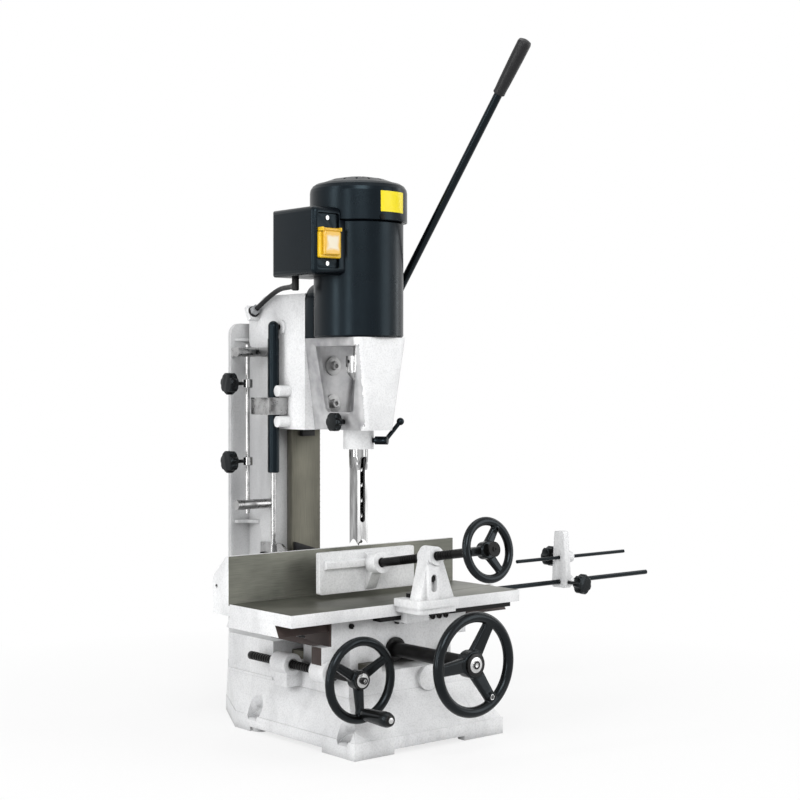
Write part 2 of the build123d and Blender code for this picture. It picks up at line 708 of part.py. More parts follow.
def chuck():
    """A keyed three-jaw chuck: sleeve with a knurled toothed ring above a tapered nose."""
    z0, z1 = 546.0, 584.0
    body = rod_z(chuck_r, 0, spindle_y, z0 + 12, z1)
    body += Pos(0, spindle_y, z0 + 6) * Cone(11, chuck_r - 2, 12)
    for i in range(24):
        body -= Pos(0, spindle_y, z0 + 16) * Rot(0, 0, 15 * i) * Pos(chuck_r + 0.4, 0, 0) * Cylinder(1.2, 8.5)
    for i in range(3):
        body -= Pos(0, spindle_y, z0 + 29) * Rot(0, 90, 120 * i + 50) * Cylinder(3, 2 * chuck_r + 2) & (
            Pos(0, spindle_y, z0 + 29) * Cylinder(chuck_r + 2, 8) - Pos(0, spindle_y, z0 + 29) * Cylinder(14, 9))
    body -= rod_z(bit_shank_r + 1.6, 0, spindle_y, z0 - 1, z0 + 28)
    return body - rod_z(8.0, 0, spindle_y, z0 + 30, z1 + 1)


def chuck_jaws():
    out = []
    for i in range(3):
        jaw = Pos(0, spindle_y, 0) * Rot(0, 0, 120 * i) * block((bit_shank_r - 0.2, bit_shank_r + 1.5), (-2.2, 2.2),
                                                                (548.0, 571.0))
        out.append(jaw - rod_z(bit_shank_r, 0, spindle_y, 540, 580))
    return out


def auger_bit():
    """Shank, helical flight on a slim core, and the spur at the point."""
    low = chisel_tip_z - 3
    shank = rod_z(bit_shank_r, 0, spindle_y, 446, 572)
    core = rod_z(3.2, 0, spindle_y, low + 6, 446)
    flight_z = low + 5
    height = 446 - flight_z - 4
    spine = Helix(pitch=24, height=height, radius=5.2)
    section = Plane(origin=spine @ 0, x_dir=(1, 0, 0), z_dir=spine % 0) * Rectangle(4.6, 4.2)
    flight = sweep(section, path=spine, is_frenet=True)
    bit = shank + core + Pos(0, spindle_y, flight_z) * flight
    point = Pos(0, spindle_y, low + 4) * Cone(0.3, 3.2, 8)
    return (bit + point) & rod_z(auger_r, 0, spindle_y, low - 2, 600)


def chisel():
    """Round shank flaring into the square hollow body, with a long chip window in the front face."""
    half = chisel_width / 2
    shank = rod_z(chisel_shank_r, 0, spindle_y, 426.0, chisel_top_z)
    low = Plane.XY.offset(405.0) * Rectangle(chisel_width, chisel_width)
    high = Plane.XY.offset(426.0) * RectangleRounded(29.9, 29.9, 14.9)
    flare = Pos(0, spindle_y, 0) * loft([low, high])
    body = Pos(0, spindle_y, (405.0 + chisel_tip_z) / 2) * Box(chisel_width, chisel_width, 405.0 - chisel_tip_z)
    body = body + flare + shank
    body -= rod_z(chisel_bore_r, 0, spindle_y, chisel_tip_z - 1, chisel_top_z + 1)
    body -= Pos(0, spindle_y, chisel_tip_z + 5.5) * Cone(14.5, chisel_bore_r, 13)
    slot = block((-5.0, 5.0), (at_y(-20.0), spindle_y), (328.0, 421.0))
    slot += rod_y(5.0, 0, 328.0, at_y(-20.0), spindle_y) + rod_y(5.0, 0, 421.0, at_y(-20.0), spindle_y)
    return body - slot


def chisel_bush():
    outer = rod_z(chisel_shank_r + 4, 0, spindle_y, neck_bottom_z + 1, 470)
    return outer - rod_z(chisel_shank_r, 0, spindle_y, 430, 480) - lock_screw_bore(7.0)


def lock_screw_frame():
    """The chisel lock screw points from the neck to the front right, just below the head."""
    return Pos(0, spindle_y, 451.5) * Rot(0, 0, -57) * Rot(0, 90, 0)


def lock_screw_bore(r):
    return lock_screw_frame() * Pos(0, 0, 25) * Cylinder(r, 34)


def chisel_lock():
    screw = lock_screw_frame() * Pos(0, 0, 22.8) * Cylinder(3.95, 13.4)
    body = lock_screw_frame() * Pos(0, 0, 38) * Cylinder(6.5, 20)
    start, end = (29.0, at_y(-33.0), 453.0), (48.0, at_y(-45.0), 481.0)
    axis = Vector(*end) - Vector(*start)
    arm = Plane(origin=start, z_dir=axis) * Cylinder(3.4, axis.length, align=(Align.CENTER, Align.CENTER, Align.MIN))
    knob = Pos(*end) * Sphere(6.0)
    return screw + body + arm + knob


def head_knob():
    knob = star_knob(15.0, 13.0, 6)
    z, y = head_knob_z, at_y(-3.0)
    half, _ = nose_outline(z)
    body = Pos(-half - 12, y, z) * Rot(0, -90, 0) * knob
    return body + rod_x(4.0, y, z, -half - 9, -half + 7.5)


def window_bolts():
    """Socket bolts with broad washers seen through the side window of the head."""
    out = []
    face = at_y(55.0)
    for z in window_bolt_z:
        x = window_bolt_x
        washer = rod_y(15.0, x, z, face - 3, face) - rod_y(4.6, x, z, face - 4, face + 1)
        out.append(washer)
        bolt = rod_y(4.55, x, z, face - 3, face + 24)
        head = rod_y(7.0, x, z, face - 10, face - 3)
        socket = Pos(x, face - 10, z) * Rot(90, 0, 0) * extrude(RegularPolygon(3.2, 6, major_radius=False), 4, both=True)
        out.append(bolt + head - socket)
    return out


# ================================================================ strut, depth rod and stop arm

def strut_cylinder():
    y = at_y(strut_y)
    tube = rod_z(strut_r, strut_x, y, strut_low_z, strut_high_z)
    tube = chamfer(tube.edges().filter_by(GeomType.CIRCLE), 1.2)
    tube -= rod_z(strut_r - 1.8, strut_x, y, strut_low_z + 8, strut_high_z - 6)
    tube -= rod_z(strut_rod_r + 0.3, strut_x, y, strut_low_z - 1, strut_low_z + 10)
    eye = rod_z(8.6, strut_x, y, strut_high_z, 633.0) + Pos(strut_x, y, 633.0) * Sphere(8.6)
    return tube + eye - rod_x(5.0, y, 632.0, strut_x - 4, strut_x + 20)


def strut_rod():
    y = at_y(strut_y)
    rod = rod_z(strut_rod_r, strut_x, y, 272.0, 426.0) + rod_z(strut_r - 2.1, strut_x, y, 418.0, 426.0)
    eye = rod_z(6.0, strut_x, y, 268.0, 282.0) + Pos(strut_x, y, 260.0) * Sphere(10.5)
    return rod + eye - rod_x(5.0, y, 260.0, strut_x - 4, strut_x + 20)


def strut_pins():
    upper = rod_x(5.0, at_y(strut_y), 632.0, strut_x - 3.9, -head_half - 4)
    return upper


def strut_bracket():
    """Plate on the column's left side that carries the strut's lower pin."""
    x1 = -box_half
    pts = [(at_y(129.0), 248.0), (at_y(129.0), 272.0), (at_y(140.0), 280.0), (at_y(198.0), 280.0), (at_y(198.0), 240.0),
           (at_y(140.0), 240.0)]
    plate = slab_x(pts, x1 - 5, x1)
    for y in (172.0, 189.0):
        plate -= rod_x(2.5, at_y(y), 260.0, x1 - 6, x1 + 1)
    return plate + rod_x(5.0, at_y(strut_y), 260.0, strut_x - 3.9, x1 - 4)


def strut_bracket_screws():
    return [cap_screw_x(4.5, -box_half - 5, at_y(y), 260.0, -1, 3.0) for y in (172.0, 189.0)]


def stop_arm():
    z = stop_arm_z
    t = 2.4
    x_out, y0 = -88.0, at_y(stop_boss_y)
    arm = block((x_out, -head_half), (y0, y0 + t), z)
    arm += block((x_out, x_out + t), (y0, at_y(168.6)), z)
    arm += block((-head_half - t, -head_half), (y0, at_y(151.0)), z)
    return arm - rod_x(1.25, at_y(143.0), sum(z) / 2, -head_half - 4, -head_half + 1)


def stop_arm_screw():
    return cap_screw_x(2.2, -head_half - 2.4, at_y(143.0), sum(stop_arm_z) / 2, -1, 2.2)


def depth_rod():
    return chamfer(rod_z(depth_rod_r, depth_rod_x, at_y(depth_rod_y), stud_z[0] - 14, stud_z[1] + 12)
                   .edges().filter_by(GeomType.CIRCLE), 0.8)


def depth_rod_brackets():
    """The lower stud screws into the column; the upper one hangs on an arm from the rear flange."""
    y = at_y(depth_rod_y)
    lower = rod_x(stud_r, y, stud_z[0], depth_rod_x - 22, -box_half)
    upper = rod_x(stud_r, y, stud_z[1], depth_rod_x - 22, -head_half - 1.2)
    upper += block((-80.0, -71.0), (y, at_y(throat + way_depth + box_depth)), (stud_z[1] - 6.5, stud_z[1] + 6.5))
    bore = rod_z(depth_rod_r, depth_rod_x, y, 300, 640)
    return [lower - bore, upper - bore]


def collar(z):
    y = at_y(depth_rod_y)
    ring = rod_z(collar_r, depth_rod_x, y, z - collar_half, z + collar_half)
    ring = chamfer(ring.edges().filter_by(GeomType.CIRCLE), 0.8)
    return ring - rod_z(depth_rod_r + 0.15, depth_rod_x, y, z - 20, z + 20) - rod_x(
        3.0, y, z, depth_rod_x - 12, depth_rod_x)


def collar_knob(z):
    y = at_y(depth_rod_y)
    knob = Pos(depth_rod_x - 27, y, z) * Rot(0, -90, 0) * star_knob(18.0, 15.0)
    return knob + rod_x(3.0, y, z, depth_rod_x - 27, depth_rod_x - depth_rod_r - 0.3)


# ================================================================ switch

def switch_box():
    x0, x1 = -118.0, -40.0
    box = block((x0, x1), (at_y(-40.0), at_y(71.0)), (706.0, 810.0))
    left = box.edges().group_by(Axis.X)[0]
    front = box.edges().filter_by(Axis.X).group_by(Axis.Y)[0]
    box = fillet(left + front, 9)
    box -= rod_z(motor_r, 0, spindle_y, 600, 792.0)
    box -= rod_z(fan_cover_r + 3, 0, spindle_y, 790.0, 900)
    panel = block((-111.0, -69.5), (at_y(-45.0), at_y(-34.0)), (716.0, 800.0))
    box -= fillet(panel.edges().filter_by(Axis.Y), 4)
    box -= block((-107.0, -75.0), (at_y(-45.0), at_y(-28.0)), (734.0, 768.0))
    return box


def switch_plate():
    plate = block((-110.5, -70.0), (at_y(-36.4), at_y(-34.0)), (716.5, 799.5))
    plate = fillet(plate.edges().filter_by(Axis.Y), 3.5)
    plate -= block((-106.0, -76.0), (at_y(-42.0), at_y(-30.0)), (735.0, 767.0))
    for z in (723.0, 792.5):
        plate -= rod_y(2.2, -90.0, z, at_y(-45.0), at_y(-30.0))
    return plate


def switch_plate_screws():
    return [rod_y(2.15, -90.0, z, at_y(-36.4), at_y(-34.0)) + rod_y(3.6, -90.0, z, at_y(-37.8), at_y(-36.4))
            for z in (723.0, 792.5)]


def switch_frame():
    """Yellow frame of the paddle switch, standing on the plate."""
    outer = block((-110.4, -69.5), (at_y(-46.0), at_y(-36.4)), (731.0, 771.0))
    outer = fillet(outer.edges().filter_by(Axis.Y), 3)
    outer = chamfer(outer.edges().group_by(Axis.Y)[0], 1.5)
    return outer - block((-105.0, -78.0), (at_y(-50.0), at_y(-30.0)), (736.5, 765.5))


def switch_button(low, high):
    body = block((-103.5, -79.5), (at_y(-44.0), at_y(-36.8)), (low, high))
    return fillet(body.edges().group_by(Axis.Y)[0], 1.2)


def switch_flap():
    """The hinged stop flap over the buttons, hung from the top of the frame."""
    flap = block((-106.4, -76.0), (at_y(-53.0), at_y(-47.0)), (735.5, 771.5))
    flap = fillet(flap.edges().group_by(Axis.Y)[0], 2.5)
    flap += rod_x(2.6, at_y(-49.0), 773.5, -106.4, -76.0)
    return flap


def switch_hinge():
    ears = block((-109.5, -106.8), (at_y(-52.0), at_y(-36.4)), (771.2, 777.0))
    ears += block((-75.6, -72.8), (at_y(-52.0), at_y(-36.4)), (771.2, 777.0))
    ears += block((-109.5, -72.8), (at_y(-39.5), at_y(-36.4)), (771.2, 777.0))
    return ears


def gland_point(out):
    """A point on the gland's axis, out millimetres from its seat."""
    lean, rise = sin(radians(gland_tilt)), cos(radians(gland_tilt))
    return (gland_x, gland_y - rise * out, gland_z + lean * out)


lead_r = 4.0
boot_x, boot_y, boot_z = -89.0, 46.0, 692.5
lead_path = [(boot_x, boot_y, boot_z), gland_point(76.0), gland_point(3.0)]
lead_bends = [120]


def switch_lead():
    """The short lead from the switch box to the gland on the head."""
    points = [(x, at_y(y), z) for x, y, z in lead_path]
    spine = FilletPolyline(*points, radius=lead_bends)
    section = Plane(origin=points[0], z_dir=spine % 0) * Circle(lead_r)
    return sweep(section, path=spine)


def lead_boot():
    """Rubber elbow under the switch box; the lead leaves it towards the rear."""
    p0, p1 = [Vector(x, at_y(y), z) for x, y, z in lead_path[:2]]
    way_out = Plane(origin=p0, z_dir=p1 - p0)
    boot = rod_z(5.6, boot_x, at_y(boot_y), boot_z - 7.0, 706.0)
    boot = chamfer(boot.edges().filter_by(GeomType.CIRCLE).group_by(Axis.Z)[0], 1.5)
    boot += way_out * Cylinder(5.4, 13.0, align=(Align.CENTER, Align.CENTER, Align.MIN))
    return boot - way_out * Cylinder(lead_r, 30.0, align=(Align.CENTER, Align.CENTER, Align.MIN))


def lead_gland():
    """Gland nut and rubber disc on the pad of the left cheek."""
    end = Vector(lead_path[-1][0], at_y(lead_path[-1][1]), lead_path[-1][2])
    start = Vector(lead_path[-2][0], at_y(lead_path[-2][1]), lead_path[-2][2])
    axis = (end - start).normalized()
    base = Plane(origin=end, z_dir=axis)
    disc = base * Cylinder(9.4, 3.0, align=(Align.CENTER, Align.CENTER, Align.MIN))
    nut = Plane(origin=end - axis * 9, z_dir=axis) * extrude(RegularPolygon(7.0, 6, major_radius=False), 9)
    return disc + nut - Plane(origin=end - axis * 20, z_dir=axis) * Cylinder(
        lead_r, 20, align=(Align.CENTER, Align.CENTER, Align.MIN))


# ================================================================ saddle

def saddle_casting():
    y0, y1 = at_y(-saddle_front), at_y(saddle_rear)
    top = table_bottom() - running
    body = block((-saddle_half, saddle_half), (y0, y1), (saddle_low_z, top))
    body = fillet(body.edges().filter_by(Axis.Z), 6)
    body += block((-100.0, 100.0), (y0, at_y(10.0)), (deck_z + 1.5, saddle_low_z))
    body -= block((-rail_half - running, rail_half + running), (y0 - 1, y1 + 1), (deck_z, rail_z + running))
    body -= slab_x(tongue_outline(running, gib_gap), -saddle_half - 1, saddle_half + 1)
    rack_y0, rack_y1 = at_y(-feed_pinion_y - feed_pinion_width / 2 - 2), at_y(-feed_pinion_y + feed_pinion_width / 2 + 2)
    body -= block((-saddle_half - 1, saddle_half + 1), (rack_y0, rack_y1), (159.0, 178.0))
    tip = feed_module * (feed_teeth / 2 + 1) + 1.5
    body -= rod_y(tip, feed_x, feed_z, rack_y0, rack_y1)
    body -= rod_y(feed_r + 4, feed_x, feed_z, y0 - 1, at_y(-2.0))
    # boss for the cross screw, hung from the left end
    body += rod_y(17.0, cross_x, cross_z + 0.4, at_y(-112.0), at_y(-78.0))
    body += block((cross_x - 13, cross_x + 17), (at_y(-104.0), at_y(-80.0)), (cross_z, saddle_low_z + 4))
    body -= rod_y(cross_r + fit, cross_x, cross_z, y0 - 20, y1)
    for x in gib_screw_x:
        body -= rod_y(3.0, x, 184.0, at_y(tongue_rear + gib_gap), y1 + 1)
    return body


def table_bottom():
    return table_top_z - slab


def tongue_outline(front, rear):
    """Dovetail under the table; front and rear widen it into the saddle's groove."""
    top, low = table_bottom() + 0.5, table_bottom() - tongue_depth
    drop = running if front else 0.0
    yf, yr = at_y(-tongue_top_front), at_y(tongue_rear)
    return [(yf - front, top), (yr + rear, top), (yr + tongue_flare + rear, low - drop),
            (yf - tongue_flare - front, low - drop)]



def table_gib():
    """The long strip behind the table's dovetail."""
    yr = at_y(tongue_rear)
    low, top = table_bottom() - tongue_depth, table_bottom() - 0.6
    lean = tongue_flare * (table_bottom() + 0.5 - top) / (tongue_depth + 0.5)
    pts = [(yr + lean + 0.2, top), (yr + lean + gib_gap - 0.2, top), (yr + tongue_flare + gib_gap - 0.3, low),
           (yr + tongue_flare + 0.2, low)]
    return slab_x(pts, -saddle_half + 2, saddle_half - 2)


def table_gib_screws():
    """Set screws with lock nuts along the saddle's rear edge."""
    out = []
    y1 = at_y(saddle_rear)
    for x in gib_screw_x:
        screw = rod_y(2.95, x, 184.0, at_y(tongue_rear + 5 + gib_gap), y1 + 7)
        nut = Pos(x, y1 + 4, 184.0) * Rot(90, 0, 0) * extrude(RegularPolygon(5, 6, major_radius=False), 4)
        out.append(screw + nut)
    return out


def apron_screws():
    """Screw heads along the front of the saddle: slotted gib screws and three cap screws."""
    y0 = at_y(-saddle_front)
    out = []
    for x, z, r in ((-98.0, 181.0, 4.0), (-10.0, 180.5, 4.6), (1.5, 180.0, 4.2), (14.0, 181.0, 4.6)):
        head = rod_y(r, x, z, y0 - 3.5, y0)
        slot = block((x - r, x + r), (y0 - 4.0, y0 - 2.2), (z - 0.6, z + 0.6))
        out.append(head - Pos(x, y0, z) * Rot(0, 35, 0) * Pos(-x, -y0, -z) * slot)
    for x in (62.0, 75.5, 89.0):
        out.append(rod_y(4.2, x, 180.5, y0 - 3, y0) - Pos(x, y0 - 3, 180.5) * Rot(90, 0, 0) * extrude(
            RegularPolygon(2, 6, major_radius=False), 2, both=True))
    return out


def feed_bush():
    """Flanged bush of the table-feed shaft in the saddle's front face."""
    y0 = at_y(-saddle_front)
    bush = rod_y(feed_r + 4, feed_x, feed_z, y0, at_y(-42.0)) + rod_y(feed_r + 7, feed_x, feed_z, y0 - 5, y0)
    return bush - rod_y(feed_r + fit, feed_x, feed_z, y0 - 10, y0 + 90)


def cross_nut():
    """Bronze nut of the cross feed in the boss on the base's left wall."""
    y0, y1 = at_y(cross_nut_y[0]), at_y(cross_nut_y[1])
    nut = rod_y(cross_r + 2.5, cross_x, cross_z, y0, y1)
    return nut - rod_y(cross_r + 0.25, cross_x, cross_z, y0 - 10, y1 + 10)


def cross_feed_screw():
    y_wheel = at_y(-cross_wheel_y)
    screw = rod_y(cross_r, cross_x, cross_z, y_wheel - 3, at_y(95.0))
    for i in range(24):
        screw -= Pos(cross_x, at_y(-60.0 + 6.2 * i), cross_z) * Rot(90, 0, 0) * (
            Cylinder(cross_r + 1, 2.6) - Cylinder(cross_r - 0.9, 3))
    screw += rod_y(11.0, cross_x, cross_z, at_y(-116.5), at_y(-112.3))
    return screw + rod_y(10.0, cross_x, cross_z, at_y(-77.7), at_y(-72.0))


def facing_front(x, y, z):
    """A frame whose +Z looks at the operator."""
    return Pos(x, y, z) * Rot(90, 0, 0)


def cross_wheel():
    wheel = handwheel(cross_wheel_d, 7.0, cross_r, (150, 30, 270), 14.0, 9.0, 9.0, 6.0, 4.0)
    return facing_front(cross_x, at_y(-cross_wheel_y), cross_z) * wheel


def wheel_washer(r, hole, x, y, z):
    return rod_y(r, x, z, y - 2.5, y) - rod_y(hole, x, z, y - 4, y + 1)


def cross_wheel_bolt():
    """Plain washer and cap screw that hold the wheel on its screw."""
    y = at_y(-cross_wheel_y) + 6 - 9
    return [rod_y(13.0, cross_x, cross_z, y - 2.5, y), cap_screw_y(5.0, cross_x, y - 2.5, cross_z, -1, 0.1) - rod_y(
        3.0, cross_x, cross_z, y - 2.5, y + 1)]


def crank_seat():
    ring = cross_wheel_d / 2 - 7.0
    return ring - 7.0 * 1.2


def crank_pin():
    x, z = cross_x, cross_z - crank_seat()
    y = at_y(-cross_wheel_y)
    return rod_y(4.0, x, z, y - 62, y + 6) + rod_y(6.5, x, z, y - 9, y - 7.2)


def crank_handle():
    """Revolving handle: slim at both ends, full in the middle."""
    x, z = cross_x, cross_z - crank_seat()
    pts = [(4.3, 0), (8.2, 0), (9.2, 6), (9.8, 22), (11.2, 44), (10.8, 52), (8.4, 58), (5.5, 59.5), (0, 59.5),
           (0, 54), (4.3, 54)]
    body = revolve(Plane.XZ * make_face(Polyline(*pts, close=True)), Axis.Z)
    return facing_front(x, at_y(-cross_wheel_y) - 9.3, z) * body


def feed_shaft():
    y_wheel = at_y(-feed_wheel_y)
    return rod_y(feed_r, feed_x, feed_z, y_wheel - 2, at_y(-4.0))


def feed_pinion():
    gear = spur_gear(feed_module, feed_teeth, feed_pinion_width, feed_r, 90)
    return facing_front(feed_x, at_y(-feed_pinion_y) + feed_pinion_width / 2, feed_z) * gear


def feed_wheel():
    wheel = handwheel(feed_wheel_d, 8.0, feed_r, (62, 182, 302), 20.0, 10.0, 9.0, 7.0, 4.5)
    return facing_front(feed_x, at_y(-feed_wheel_y), feed_z) * wheel


def feed_wheel_bolt():
    y = at_y(-feed_wheel_y) + 7 - 9
    socket = Pos(feed_x, y - 4.6, feed_z) * Rot(90, 0, 0) * extrude(RegularPolygon(2.6, 6, major_radius=False), 1.2, both=True)
    return [rod_y(16.5, feed_x, feed_z, y - 3, y), rod_y(6.2, feed_x, feed_z, y - 4.6, y - 3) - socket]


def handle_insert(x, y, z, angle, diameter, rim_r, r):
    """Threaded insert of the unused handle hole in a wheel."""
    seat = diameter / 2 - rim_r - rim_r * 1.2
    cx, cz = x + seat * cos(radians(angle)), z + seat * sin(radians(angle))
    return rod_y(r, cx, cz, y - 6, y + 6) - rod_y(r - 1.6, cx, cz, y - 7, y + 7)


def feed_wheel_insert():
    return handle_insert(feed_x, at_y(-feed_wheel_y), feed_z, 302, feed_wheel_d, 8.0, 4.5)


# ================================================================ table and fence

def table_casting():
    half = table_length / 2
    low, top = table_bottom(), table_top_z
    y0, yf = at_y(-table_front), at_y(fence_gap)
    high = top + fence_height
    section = [(y0, low), (y0, top), (yf - 3, top), (yf - 3, top - 2.5), (yf, top - 2.5), (yf, high), (yf + 7, high),
               (yf + 12, high - 5), (yf + 12, low + 16), (yf + 42, low + 11), (yf + 42, low + 1), (yf + 9, low)]
    body = slab_x(section, -half, half)
    web = [(yf + 1, low), (yf + 1, high), (yf + 6, high), (yf + 42, high - 32), (yf + 42, low + 1)]
    for x0, x1 in ((-half, -half + 12), (-half / 3 - 6, -half / 3 + 6), (half / 3 - 6, half / 3 + 6), (half - 12, half)):
        body += slab_x(web, x0, x1)
    body += slab_x(tongue_outline(0.0, 0.0), -half, half)
    body -= rod_x(3.0, at_y(62.0), 235.0, -half - 1, -half + 9)
    body += rod_x(11.0, at_y(stop_rod_y), stop_rod_z - 1.4, half - 2, half + 9) & block(
        (half - 3, half + 12), (y0, yf), (low, top))
    body -= rod_x(stop_rod_r, at_y(stop_rod_y), stop_rod_z, half - 30, half + 12)
    for x in rail_screw_x:
        body -= rod_z(3.0, x, at_y(-table_front + 9), low - 1, low + 12)
    return body


def table_rack():
    back = table_bottom() - tongue_depth - (feed_z + feed_module * feed_teeth / 2)
    teeth = rack_teeth(feed_module, 244.0, feed_pinion_width, back)
    y = at_y(-feed_pinion_y) + feed_pinion_width / 2
    return Pos(feed_x, y, feed_z + feed_module * feed_teeth / 2) * Rot(90, 0, 0) * teeth


def clamp_rail():
    y0 = at_y(-table_front)
    low = table_bottom()
    rail = block((-62.0, 205.0), (y0, y0 + 18), (low - rail_thick, low))
    for x in rail_screw_x:
        rail -= rod_z(5.0, x, y0 + 9, low - rail_thick - 1, low - rail_thick + 3) + rod_z(2.95, x, y0 + 9, low - 8, low)
    return rail


def clamp_rail_screws():
    low = table_bottom()
    y = at_y(-table_front + 9)
    return [rod_z(2.95, x, y, low - rail_thick + 0.3, low + 11) + rod_z(
        5.0, x, y, low - rail_thick + 0.3, low - rail_thick + 3) for x in rail_screw_x]


def lower_stop_rod():
    rod = rod_x(stop_rod_r, at_y(stop_rod_y), stop_rod_z, table_length / 2 - 29, stop_rod_end)
    return chamfer(rod.edges().filter_by(GeomType.CIRCLE), 0.8)


def upper_stop_rod():
    rod = rod_x(upper_rod_r, at_y(stop_rod_y), upper_rod_z, *upper_rod_x)
    return chamfer(rod.edges().filter_by(GeomType.CIRCLE), 0.7)


def stop_block():
    x0, x1 = stop_block_x, stop_block_x + stop_block_thick
    y = at_y(stop_rod_y)
    body = slab_x([(y - 18, 193.0), (y + 17, 193.0), (y + 11, 289.0), (y - 11, 289.0)], x0, x1)
    body = fillet(body.edges().filter_by(Axis.X), 5)
    for z, r in ((stop_rod_z, stop_rod_r), (upper_rod_z, upper_rod_r)):
        body += rod_x(9.5, y, z, x1 - 1, x1 + 16)
    body -= rod_x(stop_rod_r + 0.2, y, stop_rod_z, x0 - 1, x1 + 20)
    body -= rod_x(upper_rod_r + 0.2, y, upper_rod_z, x0 - 1, x1 + 20)
    mid = (x0 + x1) / 2
    body -= rod_y(3.0, mid, stop_rod_z, y - 30, y)
    return body - rod_y(3.0, mid, upper_rod_z, y, y + 30)


def stop_knob(z, toward, reach):
    """Star knob that pinches a rod in the stop block; toward is -1 for the operator's side."""
    x = stop_block_x + stop_block_thick / 2
    y = at_y(stop_rod_y)
    turn = Rot(90, 0, 0) if toward < 0 else Rot(-90, 0, 0)
    knob = Pos(x, y + toward * (reach + 6), z) * turn * star_knob(17.0, 15.0)
    near = 4.3 if toward < 0 else 3.3
    return knob + rod_y(3.0, x, z, y + toward * near, y + toward * (reach + 2))


# ================================================================ work clamp

def clamp_axis(reach):
    """A frame on the clamp screw's centre line, reach millimetres from its ball towards the operator."""
    return Pos(clamp_x, at_y(-clamp_ball_y), clamp_ball_z) * Rot(90 - clamp_tilt, 0, 0) * Pos(0, 0, reach)


def clamp_reach(y):
    return (y - clamp_ball_y) / cos(radians(clamp_tilt))


def jaw():
    y1, y0 = at_y(-jaw_back), at_y(-jaw_back - jaw_thick)
    plate = block((-jaw_half, jaw_half), (y0, y1), (jaw_low_z, jaw_high_z))
    plate = fillet(plate.edges().filter_by(Axis.Y), 3)
    plate += slab_x([(y0 + 1, 255.0), (y0 - 7, 257.5), (y0 - 7, 267.0), (y0 + 1, 270.0)], -jaw_half + 8, jaw_half - 8)
    boss = clamp_axis(-1.0) * Cylinder(16.5, 22)
    web = slab_x([(y0 + 1, jaw_low_z + 1), (y0 + 1, jaw_high_z - 4), (y0 - 14, 268.0), (y0 - 18, 250.0),
                  (y0 - 3, jaw_low_z + 4)], clamp_x - 10, clamp_x + 10)
    body = plate + boss + web
    body -= clamp_axis(0.0) * Sphere(9.6)
    body -= clamp_axis(10.0) * Cylinder(9.6, 20)
    return body & block((-jaw_half - 1, jaw_half + 1), (at_y(-90), y1), (150, 350))


def jaw_socket_ring():
    """Retaining ring that keeps the ball in the jaw."""
    ring = clamp_axis(7.5) * Cylinder(9.6, 5.0)
    return ring - clamp_axis(0.0) * Sphere(9.3) - clamp_axis(8.0) * Cylinder(7.6, 12)


def clamp_screw():
    end = clamp_reach(clamp_wheel_y) + 12
    screw = clamp_axis(end / 2) * Cylinder(clamp_screw_r, end) + clamp_axis(0.0) * Sphere(9.3)
    screw -= clamp_axis(13.0) * (Cylinder(12, 9) - Cylinder(5.8, 10))
    for i in range(22):
        screw -= clamp_axis(62 + 5.5 * i) * (Cylinder(clamp_screw_r + 1, 2.4) - Cylinder(clamp_screw_r - 0.9, 3))
    return screw


def clamp_wheel():
    wheel = handwheel(clamp_wheel_d, 6.5, clamp_screw_r, (182, 302, 58), 13.0, 8.0, 8.0, 5.0, 2.6)
    return clamp_axis(clamp_reach(clamp_wheel_y)) * wheel


def clamp_wheel_bolt():
    """Washer and low screw head on the front of the clamp wheel's hub."""
    at = clamp_axis(clamp_reach(clamp_wheel_y) + 12)
    disc = at * Cylinder(11.0, 2.5, align=(Align.CENTER, Align.CENTER, Align.MIN))
    head = at * Pos(0, 0, 2.5) * Cylinder(3.6, 1.4, align=(Align.CENTER, Align.CENTER, Align.MIN))
    socket = at * Pos(0, 0, 3.9) * extrude(RegularPolygon(1.6, 6, major_radius=False), 1.0, both=True)
    return [disc, head - socket]


def clamp_bracket():
    """Carriage on the table's front edge: it hooks under the rail and carries the screw's nut."""
    ya, yb = at_y(-table_front) - running, at_y(-bracket_front)
    plate = block(bracket_x, (yb, ya), (bracket_mid_z, bracket_high_z))
    plate += block((bracket_x[0] + 3, bracket_x[1] - 3), (yb + 3, ya), (bracket_low_z, bracket_mid_z))
    corners = plate.edges().filter_by(Axis.Z).group_by(Axis.Y)
    body = fillet(corners[0] + corners[1], 7)
    rail_low = table_bottom() - rail_thick - running
    body += block((-hook_half, hook_half), (ya - 13, ya), (rail_low - 4, bracket_mid_z))
    body += block((-hook_half, hook_half), (ya - 1, ya + 17), (rail_low - 4, rail_low))
    lower = [(-25.0, at_y(-178.0)), (42.0, at_y(-178.0)), (42.0, at_y(-154.0)), (-25.0, at_y(-154.0))]
    upper = [(-8.5, at_y(-178.0)), (16.5, at_y(-178.0)), (16.5, at_y(-155.0)), (-8.5, at_y(-155.0))]
    body += loft_between(lower, bracket_high_z - 1, upper, 285.0)
    axis_z = clamp_ball_z + (bracket_y - clamp_ball_y) * tan(radians(clamp_tilt))
    boss = clamp_axis(clamp_reach(bracket_y)) * Cylinder(14.0, 30)
    cap = rod_y(13.2, clamp_x, axis_z + 3, at_y(-178.0), at_y(-155.0))
    body = body + boss + cap
    # the raised band down the front, with its slot
    x = slot_x
    body += slab_x([(at_y(-184.0), bracket_high_z - 1), (at_y(-184.0), 268.0), (at_y(-176.0), 276.0),
                    (at_y(-170.0), bracket_high_z - 1)], x - 10.5, x + 10.5)
    body -= clamp_axis(clamp_reach(bracket_y)) * Cylinder(clamp_screw_r + 0.25, 90)
    body -= block((x - 5.5, x + 5.5), (at_y(-192.0), at_y(-176.0)), (237.0, 252.0))
    body -= rod_y(5.5, x, 237.0, at_y(-192.0), at_y(-176.0)) + rod_y(5.5, x, 252.0, at_y(-192.0), at_y(-176.0))
    body -= rod_z(4.0, *lock_place(), rail_low - 12, 240)
    return body


